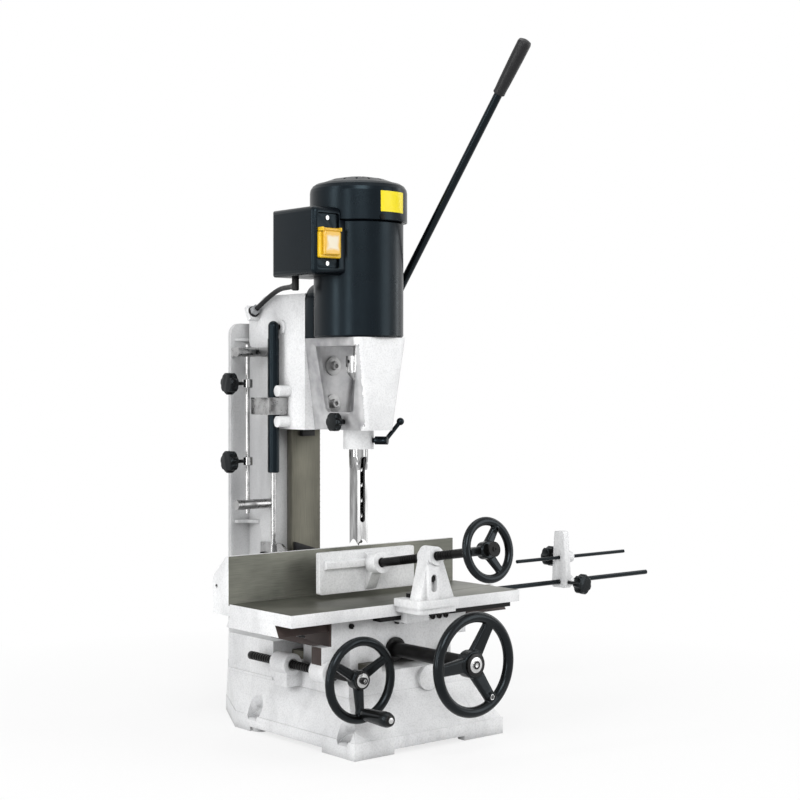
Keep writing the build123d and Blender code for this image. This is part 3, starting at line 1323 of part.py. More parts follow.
def lock_place():
    return -10.0, at_y(-table_front) - running - 6.5


def bracket_screw():
    """Dark capped screw in the tower's front slot."""
    return rod_y(4.8, slot_x, 251.0, at_y(-181.0), at_y(-176.0))


def bracket_lock():
    """Locking screw of the carriage with a small knurled head on top of the plate."""
    x, y = lock_place()
    head = rod_z(6.0, x, y, bracket_high_z, bracket_high_z + 6)
    return head + rod_z(3.9, x, y, 184.0, bracket_high_z)


def together(*items):
    """Several pieces that share a node, as one flat list."""
    out = []
    for item in items:
        out += item if isinstance(item, list) else [item]
    return out


def frame_parts():
    return {
        "base_casting": base_casting(),
        "column_casting": column_casting(),
        "column_fasteners": together(column_bolts(), lift_rack_screws(), strut_bracket_screws(), way_buffer()),
        "column_brackets": together(depth_rod_brackets(), strut_bracket()),
        "lift_rack": lift_rack(),
        "strut_rod": strut_rod(),
        "depth_rod": rod_z(depth_rod_r, depth_rod_x, at_y(depth_rod_y), stud_z[0] - 14, stud_z[1] + 12),
        "cross_nut": cross_nut(),
        "lower_collar": collar(collar_z[0]),
        "upper_collar": collar(collar_z[1]),
        "lower_collar_knob": collar_knob(collar_z[0]),
        "upper_collar_knob": collar_knob(collar_z[1]),
    }


def head_parts():
    return {
        "head_casting": head_casting(),
        "head_gib": together(head_gib(), head_gib_screws()),
        "head_bushes": together(lift_bushes(), chisel_bush()),
        "head_fasteners": together(window_bolts(), stop_arm_screw(), fan_cover_screws(), switch_plate_screws(),
                                   strut_pins(), way_wiper()),
        "motor_pad": motor_pad(),
        "motor_frame": together(motor_shell(), motor_end_plate(), motor_stator(), motor_bearings()),
        "fan_cover": fan_cover(),
        "strut_cylinder": strut_cylinder(),
        "stop_arm": stop_arm(),
        "chisel": chisel(),
        "chisel_lock": chisel_lock(),
        "head_knob": head_knob(),
        "switch_box": switch_box(),
        "switch_plate": switch_plate(),
        "switch_frame": together(switch_frame(), switch_hinge()),
        "switch_flap": switch_flap(),
        "start_button": switch_button(752.0, 765.0),
        "stop_button": switch_button(737.0, 750.0),
        "switch_lead": switch_lead(),
        "lead_gland": together(lead_gland(), lead_boot()),
        "lift_pinion": lift_pinion(),
        "lever_hub": lever_hub(),
        "lever_rod": lever_rod(),
        "lever_grip": lever_grip(),
        "motor_shaft": together(motor_shaft(), cooling_fan()),
        "chuck": together(chuck(), chuck_jaws()),
        "auger_bit": auger_bit(),
    }


def table_parts():
    return {
        "saddle_casting": saddle_casting(),
        "saddle_fittings": together(table_gib(), table_gib_screws(), apron_screws(), feed_bush()),
        "cross_feed_screw": together(cross_feed_screw(), cross_wheel_bolt(), crank_pin()),
        "cross_wheel": cross_wheel(),
        "crank_handle": crank_handle(),
        "feed_shaft": together(feed_shaft(), feed_pinion(), feed_wheel_bolt(), feed_wheel_insert()),
        "feed_wheel": feed_wheel(),
        "table_casting": table_casting(),
        "table_rack": table_rack(),
        "clamp_rail": together(clamp_rail(), clamp_rail_screws()),
        "lower_stop_rod": lower_stop_rod(),
        "upper_stop_rod": upper_stop_rod(),
        "stop_block": stop_block(),
        "lower_stop_knob": stop_knob(stop_rod_z, -1, 35.0),
        "upper_stop_knob": stop_knob(upper_rod_z, 1, 14.0),
        "clamp_bracket": clamp_bracket(),
        "bracket_screws": together(bracket_screw(), bracket_lock()),
        "jaw": together(jaw(), jaw_socket_ring()),
        "clamp_screw": together(clamp_screw(), clamp_wheel_bolt()),
        "clamp_wheel": clamp_wheel(),
    }


parts = {**frame_parts(), **head_parts(), **table_parts()}
os.makedirs("parts", exist_ok=True)
for name, shape in parts.items():
    solids = [s for item in together(shape) for s in item.solids()]
    print(name, len(solids), round(sum(s.volume for s in solids)))
    export_step(Compound(children=solids) if len(solids) > 1 else solids[0], f"parts/{name}.step")
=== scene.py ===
import bpy, json, math
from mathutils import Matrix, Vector


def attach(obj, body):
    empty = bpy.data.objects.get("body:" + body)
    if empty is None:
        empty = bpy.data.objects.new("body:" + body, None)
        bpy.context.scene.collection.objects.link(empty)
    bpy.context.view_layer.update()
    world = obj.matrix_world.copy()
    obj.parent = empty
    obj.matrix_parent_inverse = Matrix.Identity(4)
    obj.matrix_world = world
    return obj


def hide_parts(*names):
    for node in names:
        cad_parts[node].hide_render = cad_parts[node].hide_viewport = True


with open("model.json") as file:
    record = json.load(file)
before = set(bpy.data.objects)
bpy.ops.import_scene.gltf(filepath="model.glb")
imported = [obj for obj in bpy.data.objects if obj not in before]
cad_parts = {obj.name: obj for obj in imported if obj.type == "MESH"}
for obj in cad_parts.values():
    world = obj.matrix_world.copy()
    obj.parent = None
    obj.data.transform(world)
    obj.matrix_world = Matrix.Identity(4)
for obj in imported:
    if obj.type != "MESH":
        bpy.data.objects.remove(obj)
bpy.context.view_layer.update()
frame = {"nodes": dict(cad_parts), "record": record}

nodes = frame["nodes"]
print("frame loaded:", len(nodes), "nodes")


# The camera stands to the operator's left, level with the chuck
cameraSetup = {"place": (-1.5624, -1.9348, 0.545), "turn": -39.95, "lens": 71.87, "drop": -0.0241}
level = (math.radians(90), 0, math.radians(cameraSetup["turn"]))
bpy.ops.object.camera_add(location=cameraSetup["place"], rotation=level)
photoCamera = bpy.context.object
photoCamera.data.lens = cameraSetup["lens"]
photoCamera.data.sensor_width = 36
photoCamera.data.shift_y = cameraSetup["drop"]
photoCamera.data.clip_end = 50
bpy.context.scene.camera = photoCamera
bpy.context.scene.view_settings.view_transform = "Standard"


def startFinish(name):
    finish = bpy.data.materials.new(name)
    finish.use_nodes = True
    tree = finish.node_tree
    shader = tree.nodes["Principled BSDF"]
    coords = tree.nodes.new("ShaderNodeTexCoord")
    return finish, tree, shader, coords


def addNoise(tree, coords, scale, detail=4.0, stretch=(1, 1, 1), roughness=0.55):
    mapping = tree.nodes.new("ShaderNodeMapping")
    mapping.inputs["Scale"].default_value = stretch
    noise = tree.nodes.new("ShaderNodeTexNoise")
    noise.inputs["Scale"].default_value = scale
    noise.inputs["Detail"].default_value = detail
    noise.inputs["Roughness"].default_value = roughness
    tree.links.new(coords.outputs["Object"], mapping.inputs["Vector"])
    tree.links.new(mapping.outputs["Vector"], noise.inputs["Vector"])
    return noise.outputs["Fac"]


def addRamp(tree, source, stops):
    ramp = tree.nodes.new("ShaderNodeValToRGB")
    while len(ramp.color_ramp.elements) < len(stops):
        ramp.color_ramp.elements.new(0.5)
    for element, (place, value) in zip(ramp.color_ramp.elements, stops):
        element.position = place
        element.color = (*value, 1) if isinstance(value, tuple) else (value, value, value, 1)
    tree.links.new(source, ramp.inputs["Fac"])
    return ramp.outputs["Color"]


def mixColours(tree, fac, first, second, blend="MIX"):
    mix = tree.nodes.new("ShaderNodeMix")
    mix.data_type = "RGBA"
    mix.blend_type = blend
    for socket, value in ((mix.inputs["Factor"], fac), (mix.inputs["A"], first), (mix.inputs["B"], second)):
        if isinstance(value, (int, float)):
            socket.default_value = value
        elif isinstance(value, tuple):
            socket.default_value = (*value, 1)
        else:
            tree.links.new(value, socket)
    return mix.outputs["Result"]


def addBump(tree, shader, height, strength, distance, under=None):
    bump = tree.nodes.new("ShaderNodeBump")
    bump.inputs["Strength"].default_value = strength
    bump.inputs["Distance"].default_value = distance
    tree.links.new(height, bump.inputs["Height"])
    if under:
        tree.links.new(under, bump.inputs["Normal"])
    tree.links.new(bump.outputs["Normal"], shader.inputs["Normal"])
    return bump.outputs["Normal"]


def addMath(tree, operation, first, second=None):
    step = tree.nodes.new("ShaderNodeMath")
    step.operation = operation
    for socket, value in zip(step.inputs, (first, second)):
        if isinstance(value, (int, float)):
            socket.default_value = value
        elif value is not None:
            tree.links.new(value, socket)
    return step.outputs["Value"]


def addBand(tree, value, centre, half):
    offset = addMath(tree, "SUBTRACT", value, centre)
    return addMath(tree, "LESS_THAN", addMath(tree, "ABSOLUTE", offset), half)


# Painted shade: ambient occlusion darkens the colour in corners and recesses
def addCornerShade(tree, reach, dark):
    corner = tree.nodes.new("ShaderNodeAmbientOcclusion")
    corner.inputs["Distance"].default_value = reach
    corner.samples = 6
    return addRamp(tree, corner.outputs["AO"], [(0.25, dark), (0.8, 1.0)])


# White sprayed castings: an uneven coat over sand-cast iron, with painted shade darkening the corners
paintLook = {"colour": (0.765, 0.77, 0.775), "deep": (0.64, 0.645, 0.655), "cornerShade": 0.42, "grainSize": 430,
             "grainHeight": 0.00045, "lumpHeight": 0.0014}


def makeCastPaint(name="castPaint", shade=1.0):
    finish, tree, shader, coords = startFinish(name)
    cloud = addNoise(tree, coords, 9, 4)
    tint = addRamp(tree, cloud, [(0.32, paintLook["deep"]), (0.62, paintLook["colour"])])
    grain = addNoise(tree, coords, paintLook["grainSize"], 3)
    speck = addRamp(tree, grain, [(0.30, 0.84), (0.56, 1.0)])
    coat = mixColours(tree, 1.0, tint, speck, "MULTIPLY")
    streak = addRamp(tree, addNoise(tree, coords, 34, 4, (1, 1, 0.35)), [(0.30, 0.90), (0.50, 1.0)])
    coat = mixColours(tree, 1.0, coat, streak, "MULTIPLY")
    # Painted shade: the shade factor darkens the whole coat colour
    coat = mixColours(tree, 1.0, coat, (shade, shade, shade), "MULTIPLY")
    # Painted shade in the corners, multiplied into the coat colour
    paintedCornerShade = addCornerShade(tree, 0.022, paintLook["cornerShade"])
    tree.links.new(mixColours(tree, 0.75, coat, paintedCornerShade, "MULTIPLY"), shader.inputs["Base Color"])
    tree.links.new(addRamp(tree, cloud, [(0.3, 0.36), (0.7, 0.50)]), shader.inputs["Roughness"])
    first = addBump(tree, shader, grain, 0.28, paintLook["grainHeight"])
    lumps = addNoise(tree, coords, 75, 3)
    addBump(tree, shader, lumps, 0.22, paintLook["lumpHeight"], first)
    return finish


# Ground and milled iron: tool lines run along the ways
groundLook = {"light": (0.235, 0.235, 0.20), "dark": (0.085, 0.088, 0.074), "metallic": 0.8}


def makeGroundIron(name, stretch, light=groundLook["light"], dark=groundLook["dark"]):
    finish, tree, shader, coords = startFinish(name)
    cloud = addNoise(tree, coords, 5, 4)
    tint = addRamp(tree, cloud, [(0.30, dark), (0.66, light)])
    lines = addNoise(tree, coords, 26, 4, stretch)
    scratch = addRamp(tree, lines, [(0.35, 0.70), (0.62, 1.0)])
    tree.links.new(mixColours(tree, 1.0, tint, scratch, "MULTIPLY"), shader.inputs["Base Color"])
    shader.inputs["Metallic"].default_value = groundLook["metallic"]
    tree.links.new(addRamp(tree, lines, [(0.3, 0.34), (0.7, 0.52)]), shader.inputs["Roughness"])
    addBump(tree, shader, lines, 0.16, 0.0004)
    return finish


# Bare iron finish; both uses below also darken it as painted shade
def makeRawIron(name, light, dark):
    finish, tree, shader, coords = startFinish(name)
    cloud = addNoise(tree, coords, 30, 5)
    tree.links.new(addRamp(tree, cloud, [(0.32, dark), (0.66, light)]), shader.inputs["Base Color"])
    shader.inputs["Metallic"].default_value = 0.45
    tree.links.new(addRamp(tree, cloud, [(0.3, 0.42), (0.7, 0.62)]), shader.inputs["Roughness"])
    addBump(tree, shader, addNoise(tree, coords, 140, 3), 0.4, 0.0006)
    return finish


# Black enamel on the motor, the box and the rods
enamelLook = {"colour": (0.0030, 0.0042, 0.0062), "rough": (0.24, 0.36), "shine": 0.18, "peel": 0.16,
              "tint": (0.62, 0.86, 1.0), "dust": 0.008}


def makeEnamel(name, colour=enamelLook["colour"], rough=enamelLook["rough"], shine=enamelLook["shine"]):
    finish, tree, shader, coords = startFinish(name)
    cloud = addNoise(tree, coords, 12, 4)
    tint = addRamp(tree, cloud, [(0.3, tuple(c * 0.6 for c in colour)), (0.7, colour)])
    dust = addRamp(tree, addNoise(tree, coords, 55, 5), [(0.60, 0.0), (0.85, 0.25)])
    dusty = tuple(c + enamelLook["dust"] for c in colour)
    tree.links.new(mixColours(tree, dust, tint, dusty), shader.inputs["Base Color"])
    grain = addNoise(tree, coords, 350, 2)
    smear = addNoise(tree, coords, 16, 4)
    tree.links.new(addRamp(tree, smear, [(0.3, rough[0]), (0.7, rough[1])]), shader.inputs["Roughness"])
    shader.inputs["Specular IOR Level"].default_value = shine
    shader.inputs["Specular Tint"].default_value = (*enamelLook["tint"], 1)
    addBump(tree, shader, grain, enamelLook["peel"], 0.0003)
    return finish, tree, shader, coords


# A bare yellow sticker on the fan cover: its place is an angle about the motor axis and a height
stickerLook = {"axis": (0.0, 0.032), "angle": -83.0, "halfAngle": 19.0, "height": 0.8205,
               "halfHeight": 0.0160,
               "colour": (0.76, 0.62, 0.02)}


def makeStickered(name):
    finish, tree, shader, coords = makeEnamel(name)
    split = tree.nodes.new("ShaderNodeSeparateXYZ")
    tree.links.new(coords.outputs["Object"], split.inputs[0])
    along = addMath(tree, "SUBTRACT", split.outputs["X"], stickerLook["axis"][0])
    across = addMath(tree, "SUBTRACT", split.outputs["Y"], stickerLook["axis"][1])
    turn = addMath(tree, "ARCTAN2", across, along)
    wide = addBand(tree, turn, math.radians(stickerLook["angle"]), math.radians(stickerLook["halfAngle"]))
    high = addBand(tree, split.outputs["Z"], stickerLook["height"], stickerLook["halfHeight"])
    patch = addMath(tree, "MULTIPLY", wide, high)
    under = shader.inputs["Base Color"].links[0].from_socket
    tree.links.new(mixColours(tree, patch, under, stickerLook["colour"]), shader.inputs["Base Color"])
    return finish


def makePhenolic(name="phenolic"):
    finish, tree, shader, coords = startFinish(name)
    cloud = addNoise(tree, coords, 25, 3)
    tree.links.new(addRamp(tree, cloud, [(0.3, 0.003), (0.7, 0.0065)]), shader.inputs["Base Color"])
    smudge = addNoise(tree, coords, 14, 4)
    tree.links.new(addRamp(tree, smudge, [(0.35, 0.14), (0.7, 0.27)]), shader.inputs["Roughness"])
    shader.inputs["Specular IOR Level"].default_value = 0.20
    shader.inputs["Specular Tint"].default_value = (0.75, 0.90, 1.0, 1)
    addBump(tree, shader, addNoise(tree, coords, 55, 2), 0.10, 0.0005)
    return finish


def makeBrightSteel(name="brightSteel", colour=0.48, dull=0.28, stretch=(4, 4, 1), depth=0.6):
    finish, tree, shader, coords = startFinish(name)
    lines = addNoise(tree, coords, 30, 3, stretch)
    tree.links.new(addRamp(tree, lines, [(0.3, colour * depth), (0.66, colour)]), shader.inputs["Base Color"])
    shader.inputs["Metallic"].default_value = 1.0
    tree.links.new(addRamp(tree, lines, [(0.3, dull * 0.6), (0.7, dull)]), shader.inputs["Roughness"])
    addBump(tree, shader, lines, 0.07, 0.0002)
    return finish


def makeBlackSteel(name="blackSteel"):
    finish, tree, shader, coords = startFinish(name)
    cloud = addNoise(tree, coords, 40, 4)
    tree.links.new(addRamp(tree, cloud, [(0.3, 0.005), (0.7, 0.012)]), shader.inputs["Base Color"])
    shader.inputs["Metallic"].default_value = 0.5
    shader.inputs["Specular IOR Level"].default_value = 0.15
    tree.links.new(addRamp(tree, cloud, [(0.3, 0.28), (0.7, 0.44)]), shader.inputs["Roughness"])
    addBump(tree, shader, addNoise(tree, coords, 300, 2), 0.15, 0.0003)
    return finish


def makePlastic(name, colour, dull=0.32, grainSize=300, shine=0.4):
    finish, tree, shader, coords = startFinish(name)
    cloud = addNoise(tree, coords, 18, 3)
    tint = addRamp(tree, cloud, [(0.3, tuple(c * 0.8 for c in colour)), (0.7, colour)])
    tree.links.new(tint, shader.inputs["Base Color"])
    grain = addNoise(tree, coords, grainSize, 2)
    tree.links.new(addRamp(tree, grain, [(0.3, dull * 0.85), (0.7, dull * 1.15)]), shader.inputs["Roughness"])
    shader.inputs["Specular IOR Level"].default_value = shine
    addBump(tree, shader, grain, 0.12, 0.0002)
    return finish


# The moulded flap is clear over an amber back, so its middle is lighter
flapLook = {"centre": (-0.0912, 0.7535), "reach": 0.017, "clear": (0.62, 0.56, 0.42),
            "amber": (0.62, 0.36, 0.03)}


def makeFlap(name="amberFlap"):
    finish, tree, shader, coords = startFinish(name)
    split = tree.nodes.new("ShaderNodeSeparateXYZ")
    tree.links.new(coords.outputs["Object"], split.inputs[0])
    along = addMath(tree, "ABSOLUTE", addMath(tree, "SUBTRACT", split.outputs["X"], flapLook["centre"][0]))
    across = addMath(tree, "ABSOLUTE", addMath(tree, "SUBTRACT", split.outputs["Z"], flapLook["centre"][1]))
    away = addMath(tree, "DIVIDE", addMath(tree, "MAXIMUM", along, across), flapLook["reach"])
    wave = addNoise(tree, coords, 90, 3)
    away = addMath(tree, "ADD", away, addMath(tree, "MULTIPLY", addMath(tree, "SUBTRACT", wave, 0.5), 0.35))
    stops = [(0.45, flapLook["clear"]), (0.72, flapLook["amber"])]
    tree.links.new(addRamp(tree, away, stops), shader.inputs["Base Color"])
    tree.links.new(addRamp(tree, wave, [(0.3, 0.12), (0.7, 0.24)]), shader.inputs["Roughness"])
    addBump(tree, shader, wave, 0.2, 0.0005)
    return finish


# Bright rings on the turned ends: (axis x, axis z, [(inner, outer) radius bands]) in metres
ringLook = {"crossHub": (-0.139, 0.1167, [(0.0, 0.0028), (0.0050, 0.0103)]),
            "feedHub": (-0.014, 0.1387, [(0.0, 0.0032), (0.0060, 0.0112)]),
            "crankTip": (-0.139, 0.0696, [(0.0, 0.0042)])}


def makeRinged(name):
    x, z, bands = ringLook[name]
    finish, tree, shader, coords = startFinish(name)
    split = tree.nodes.new("ShaderNodeSeparateXYZ")
    tree.links.new(coords.outputs["Object"], split.inputs[0])
    sideways = addMath(tree, "POWER", addMath(tree, "SUBTRACT", split.outputs["X"], x), 2)
    upward = addMath(tree, "POWER", addMath(tree, "SUBTRACT", split.outputs["Z"], z), 2)
    radius = addMath(tree, "SQRT", addMath(tree, "ADD", sideways, upward))
    ring = None
    for inner, outer in bands:
        band = addBand(tree, radius, (inner + outer) / 2, (outer - inner) / 2)
        ring = addMath(tree, "ADD", ring, band) if ring else band
    cloud = addNoise(tree, coords, 60, 4)
    bright = addRamp(tree, cloud, [(0.3, 0.46), (0.7, 0.62)])
    black = addRamp(tree, cloud, [(0.3, 0.004), (0.7, 0.010)])
    tree.links.new(mixColours(tree, ring, black, bright), shader.inputs["Base Color"])
    tree.links.new(ring, shader.inputs["Metallic"])
    tree.links.new(addRamp(tree, cloud, [(0.3, 0.22), (0.7, 0.36)]), shader.inputs["Roughness"])
    shader.inputs["Specular IOR Level"].default_value = 0.2
    addBump(tree, shader, cloud, 0.08, 0.0003)
    return finish


castPaint = makeCastPaint()
# The column takes a painted-shade copy of the cast paint, darkened to 0.70
shadedColumnPaint = makeCastPaint("shadedColumnPaint", 0.70)
groundTable = makeGroundIron("groundTable", (1, 55, 55))
groundWay = makeGroundIron("groundWay", (55, 55, 1), (0.15, 0.145, 0.115), (0.065, 0.062, 0.05))
# Very dark brown bare iron, deepened into painted shade on undersides and the saddle's left end
bareIronShade = makeRawIron("bareIronShade", (0.052, 0.036, 0.032), (0.020, 0.013, 0.012))
# Grey bare iron, darkened further as painted shade where it lines the nose window
rawGreyAndShade = makeRawIron("rawGreyAndShade", (0.50, 0.50, 0.505), (0.27, 0.27, 0.28))
motorEnamel = makeEnamel("motorEnamel")[0]
glossBlack = makeEnamel("glossBlack", (0.003, 0.0034, 0.0042), (0.16, 0.26), 0.20)[0]
fanEnamel = makeStickered("fanEnamel")
phenolic = makePhenolic()
brightSteel = makeBrightSteel()
plainSteel = makeBrightSteel("plainSteel", 0.42, 0.36, (3, 3, 3), 0.7)
chiselSteel = makeBrightSteel("chiselSteel", 0.46, 0.20, (3.5, 3.5, 0.5), 0.30)
chromeSteel = makeBrightSteel("chromeSteel", 0.46, 0.16, (2, 2, 2), 0.6)
dullSteel = makeBrightSteel("dullSteel", 0.40, 0.62, (3, 3, 3), 0.75)
nickel = makeBrightSteel("nickel", 0.62, 0.30, (3, 3, 3), 0.75)
blackSteel = makeBlackSteel()
leadRubber = makePlastic("leadRubber", (0.009, 0.009, 0.010), 0.5, 200, 0.25)
gripRubber = makePlastic("gripRubber", (0.007, 0.007, 0.008), 0.42, 160, 0.3)
switchGrey = makePlastic("switchGrey", (0.30, 0.31, 0.32), 0.4)
switchYellow = makePlastic("switchYellow", (0.74, 0.46, 0.012), 0.28)
amberFlap = makeFlap()
buttonGreen = makePlastic("buttonGreen", (0.02, 0.28, 0.06), 0.3)
buttonRed = makePlastic("buttonRed", (0.52, 0.02, 0.015), 0.3)
bronze = makeBrightSteel("bronze", 0.36, 0.4, (3, 3, 3))
print("finishes made")

slotFinishes = {
    "paint_cast": castPaint, "machined_iron": groundWay, "motor_black": motorEnamel,
    "black_steel": blackSteel, "black_gloss": glossBlack, "bright_steel": brightSteel,
    "steel": plainSteel, "phenolic": phenolic, "switch_grey": switchGrey,
    "switch_yellow": switchYellow, "flap_amber": amberFlap, "button_green": buttonGreen,
    "button_red": buttonRed, "rubber_black": leadRubber, "bronze": bronze}
nodeFinishes = {"fan_cover": fanEnamel, "column_casting": shadedColumnPaint, "lever_grip": gripRubber,
                "chisel": chiselSteel, "auger_bit": chiselSteel, "depth_rod": chromeSteel,
                "strut_rod": chromeSteel, "lower_collar": chromeSteel, "upper_collar": chromeSteel}
nodeSlots = {row["node"]: row["material_slot"] for row in frame["record"]["subparts"]}


def finishOf(nodeName):
    return nodeFinishes.get(nodeName, slotFinishes[nodeSlots[nodeName]])


for nodeName, node in nodes.items():
    node.data.materials.clear()
    node.data.materials.append(finishOf(nodeName))
print("nodes dressed")


def nothingSelected():
    if bpy.context.object and bpy.context.object.mode != "OBJECT":
        bpy.ops.object.mode_set(mode="OBJECT")
    bpy.ops.object.select_all(action="DESELECT")


def bodyOf(nodeName):
    for body, members in frame["record"]["behaviour"]["bodies"].items():
        if nodeName in members:
            return body
    return None


# A merged copy with rounded edges stands for its node
edgeLook = {"segments": 2, "sharpAngle": 28, "smoothAngle": 32}


def softenNode(nodeName, width, finish=None):
    node = nodes[nodeName]
    nothingSelected()
    copy = node.copy()
    copy.data = node.data.copy()
    copy.parent = None
    copy.matrix_world = node.matrix_world.copy()
    copy.name = nodeName + "Cast"
    bpy.context.collection.objects.link(copy)
    bpy.context.view_layer.objects.active = copy
    copy.select_set(True)
    bpy.ops.object.mode_set(mode="EDIT")
    bpy.ops.mesh.select_all(action="SELECT")
    bpy.ops.mesh.remove_doubles(threshold=0.00001)
    bpy.ops.mesh.dissolve_limited(angle_limit=math.radians(1.5))
    bpy.ops.object.mode_set(mode="OBJECT")
    bevel = copy.modifiers.new("edge", "BEVEL")
    bevel.width = width
    bevel.segments = edgeLook["segments"]
    bevel.limit_method = "ANGLE"
    bevel.angle_limit = math.radians(edgeLook["sharpAngle"])
    bevel.use_clamp_overlap = True
    bevel.miter_outer = "MITER_ARC"
    bpy.ops.object.modifier_apply(modifier="edge")
    bpy.ops.object.shade_smooth_by_angle(angle=math.radians(edgeLook["smoothAngle"]))
    copy.data.materials.clear()
    copy.data.materials.append(finish or finishOf(nodeName))
    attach(copy, bodyOf(nodeName))
    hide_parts(nodeName)
    nothingSelected()
    return copy


# Faces that the chooser picks by centre and normal take the other finish
def dressFaces(piece, finish, chooser):
    piece.data.materials.append(finish)
    place = len(piece.data.materials) - 1
    for face in piece.data.polygons:
        if chooser(face.center, face.normal):
            face.material_index = place


# Castings: edge radius in metres
castEdges = {"base_casting": 0.0022, "column_casting": 0.0018, "head_casting": 0.0022,
             "saddle_casting": 0.0018, "clamp_bracket": 0.0018, "stop_block": 0.0012,
             "switch_box": 0.0012, "table_casting": 0.0009, "jaw": 0.0012}
hubFinishes = {name: makeRinged(name) for name in ringLook}
castings = {nodeName: softenNode(nodeName, width) for nodeName, width in castEdges.items()}


def noseInside(place, normal):
    drop = (0.612 - place.z) / 0.145
    return (0.4745 < place.z < 0.6005 and abs(place.x) < 0.0605 - 0.020 * drop
            and -0.0265 + 0.008 * drop < place.y < 0.0876)


# Table underside and lower front faces: painted shade in a dark bare-iron colour
def tableShadeFaces(place, normal):
    return place.z < 0.1955 and (normal.y < -0.3 or normal.z < -0.5) and place.y < 0.05


# Saddle undersides and left end: painted shade in a dark bare-iron colour, except the screw boss
def saddleShadeFaces(place, normal):
    leftEnd = normal.x < -0.7 and place.x < -0.12 and place.z < 0.19
    onBoss = place.z < 0.1345 and place.y < -0.0455 and place.x < -0.115
    return (normal.z < -0.4 or leftEnd) and not onBoss


def wayGround(place, normal):
    return place.y < 0.194 and abs(place.x) < 0.029 and place.z > 0.157


def railGround(place, normal):
    return 0.1125 < place.z < 0.139 and 0.055 < abs(place.x) < 0.085 and place.y < 0.0935


def tableGround(place, normal):
    onTop = normal.z > 0.97 and 0.207 < place.z < 0.2112
    onFence = normal.y < -0.97 and place.y > 0.055 and place.z > 0.207
    return onTop or onFence


dressFaces(castings["table_casting"], groundTable, tableGround)
dressFaces(castings["column_casting"], groundWay, wayGround)
dressFaces(castings["base_casting"], groundWay, railGround)
# The inside of the nose window takes a darker grey: bare cast metal with painted shade
dressFaces(castings["head_casting"], rawGreyAndShade, noseInside)
# Undersides of the saddle and table take the dark bare iron as painted shade
dressFaces(castings["saddle_casting"], bareIronShade, saddleShadeFaces)
dressFaces(castings["table_casting"], bareIronShade, tableShadeFaces)
print("castings rounded, ways ground")

# Fastened sets: the washers, caps and rubbers in one node each take their own finish
setLooks = {
    "column_fasteners": (0.0004, blackSteel, [
        (leadRubber, lambda p, n: p.y < 0.1705 and 0.261 < p.z < 0.284)]),
    "head_fasteners": (0.0004, blackSteel, [
        (dullSteel, lambda p, n: p.y < 0.15 and p.z < 0.6),
        (nickel, lambda p, n: p.x < -0.086 and p.z > 0.7),
        (leadRubber, lambda p, n: p.y > 0.16 and p.z < 0.468)]),
    "lead_gland": (0.0004, leadRubber, [
        (switchGrey, lambda p, n: p.z < 0.675 and 0.454 * (p.z - 0.658) - 0.891 * (p.y - 0.235) > 0.0031)]),
    "saddle_fittings": (0.0003, blackSteel, [(nickel, lambda p, n: 0.009 < p.x < 0.019 and p.y < -0.072)]),
    "cross_feed_screw": (0.0002, blackSteel, [
        (hubFinishes["crossHub"], lambda p, n: p.y < -0.1504 and p.z > 0.1)]),
    "feed_shaft": (0.0003, blackSteel, [
        (hubFinishes["feedHub"], lambda p, n: p.y < -0.2528 and p.z > 0.12),
        (nickel, lambda p, n: p.z < 0.095)]),
    "crank_handle": (0.0005, phenolic, [(hubFinishes["crankTip"], lambda p, n: p.y < -0.2135)]),
}
for nodeName, (width, finish, rules) in setLooks.items():
    dressed = softenNode(nodeName, width, finish)
    for other, chooser in rules:
        dressFaces(dressed, other, chooser)
print("fastened sets dressed")


# Moulded handwheels: rim, hub and spokes are fused, then smoothed like a moulding.
wheelShapes = {
    "crossWheel": {"node": "cross_wheel", "body": "cross_screw", "centre": (-0.139, -0.1475, 0.1167),
                   "tilt": 0.0, "rimRadius": 0.0555, "rimThick": 0.0069, "hubRadius": 0.0138,
                   "hubBack": 0.015, "hubFront": 0.003, "dish": 0.006, "spokes": (150, 30, 270),
                   "shaft": 0.0065, "seat": 0.0064, "seatHole": 0.004},
    "feedWheel": {"node": "feed_wheel", "body": "feed", "centre": (-0.014, -0.251, 0.1387),
                  "tilt": 0.0, "rimRadius": 0.068, "rimThick": 0.0079, "hubRadius": 0.0198,
                  "hubBack": 0.017, "hubFront": 0.002, "dish": 0.007, "spokes": (62, 182, 302),
                  "shaft": 0.011, "seat": 0.0072, "seatHole": 0.0045},
    "clampWheel": {"node": "clamp_wheel", "body": "clamp_screw", "centre": (0.004, -0.261, 0.30233),
                   "tilt": 9.2, "rimRadius": 0.0415, "rimThick": 0.0064, "hubRadius": 0.0128,
                   "hubBack": 0.013, "hubFront": 0.003, "dish": 0.005, "spokes": (182, 302, 58),
                   "shaft": 0.0068, "seat": 0.0042, "seatHole": 0.0026},
}
wheelMould = {"voxel": 0.00095, "smoothing": 0.5, "passes": 7, "boreClearance": 0.0001, "smoothAngle": 40,
              "rimFlatness": 0.96, "hubEdge": 0.0014, "seatEdge": 0.0008}


def joinSelected(pieces):
    nothingSelected()
    for piece in pieces:
        piece.select_set(True)
    bpy.context.view_layer.objects.active = pieces[0]
    bpy.ops.object.join()
    return bpy.context.object


def applyPlace(piece):
    nothingSelected()
    piece.select_set(True)
    bpy.context.view_layer.objects.active = piece
    bpy.ops.object.transform_apply(location=True, rotation=True, scale=True)


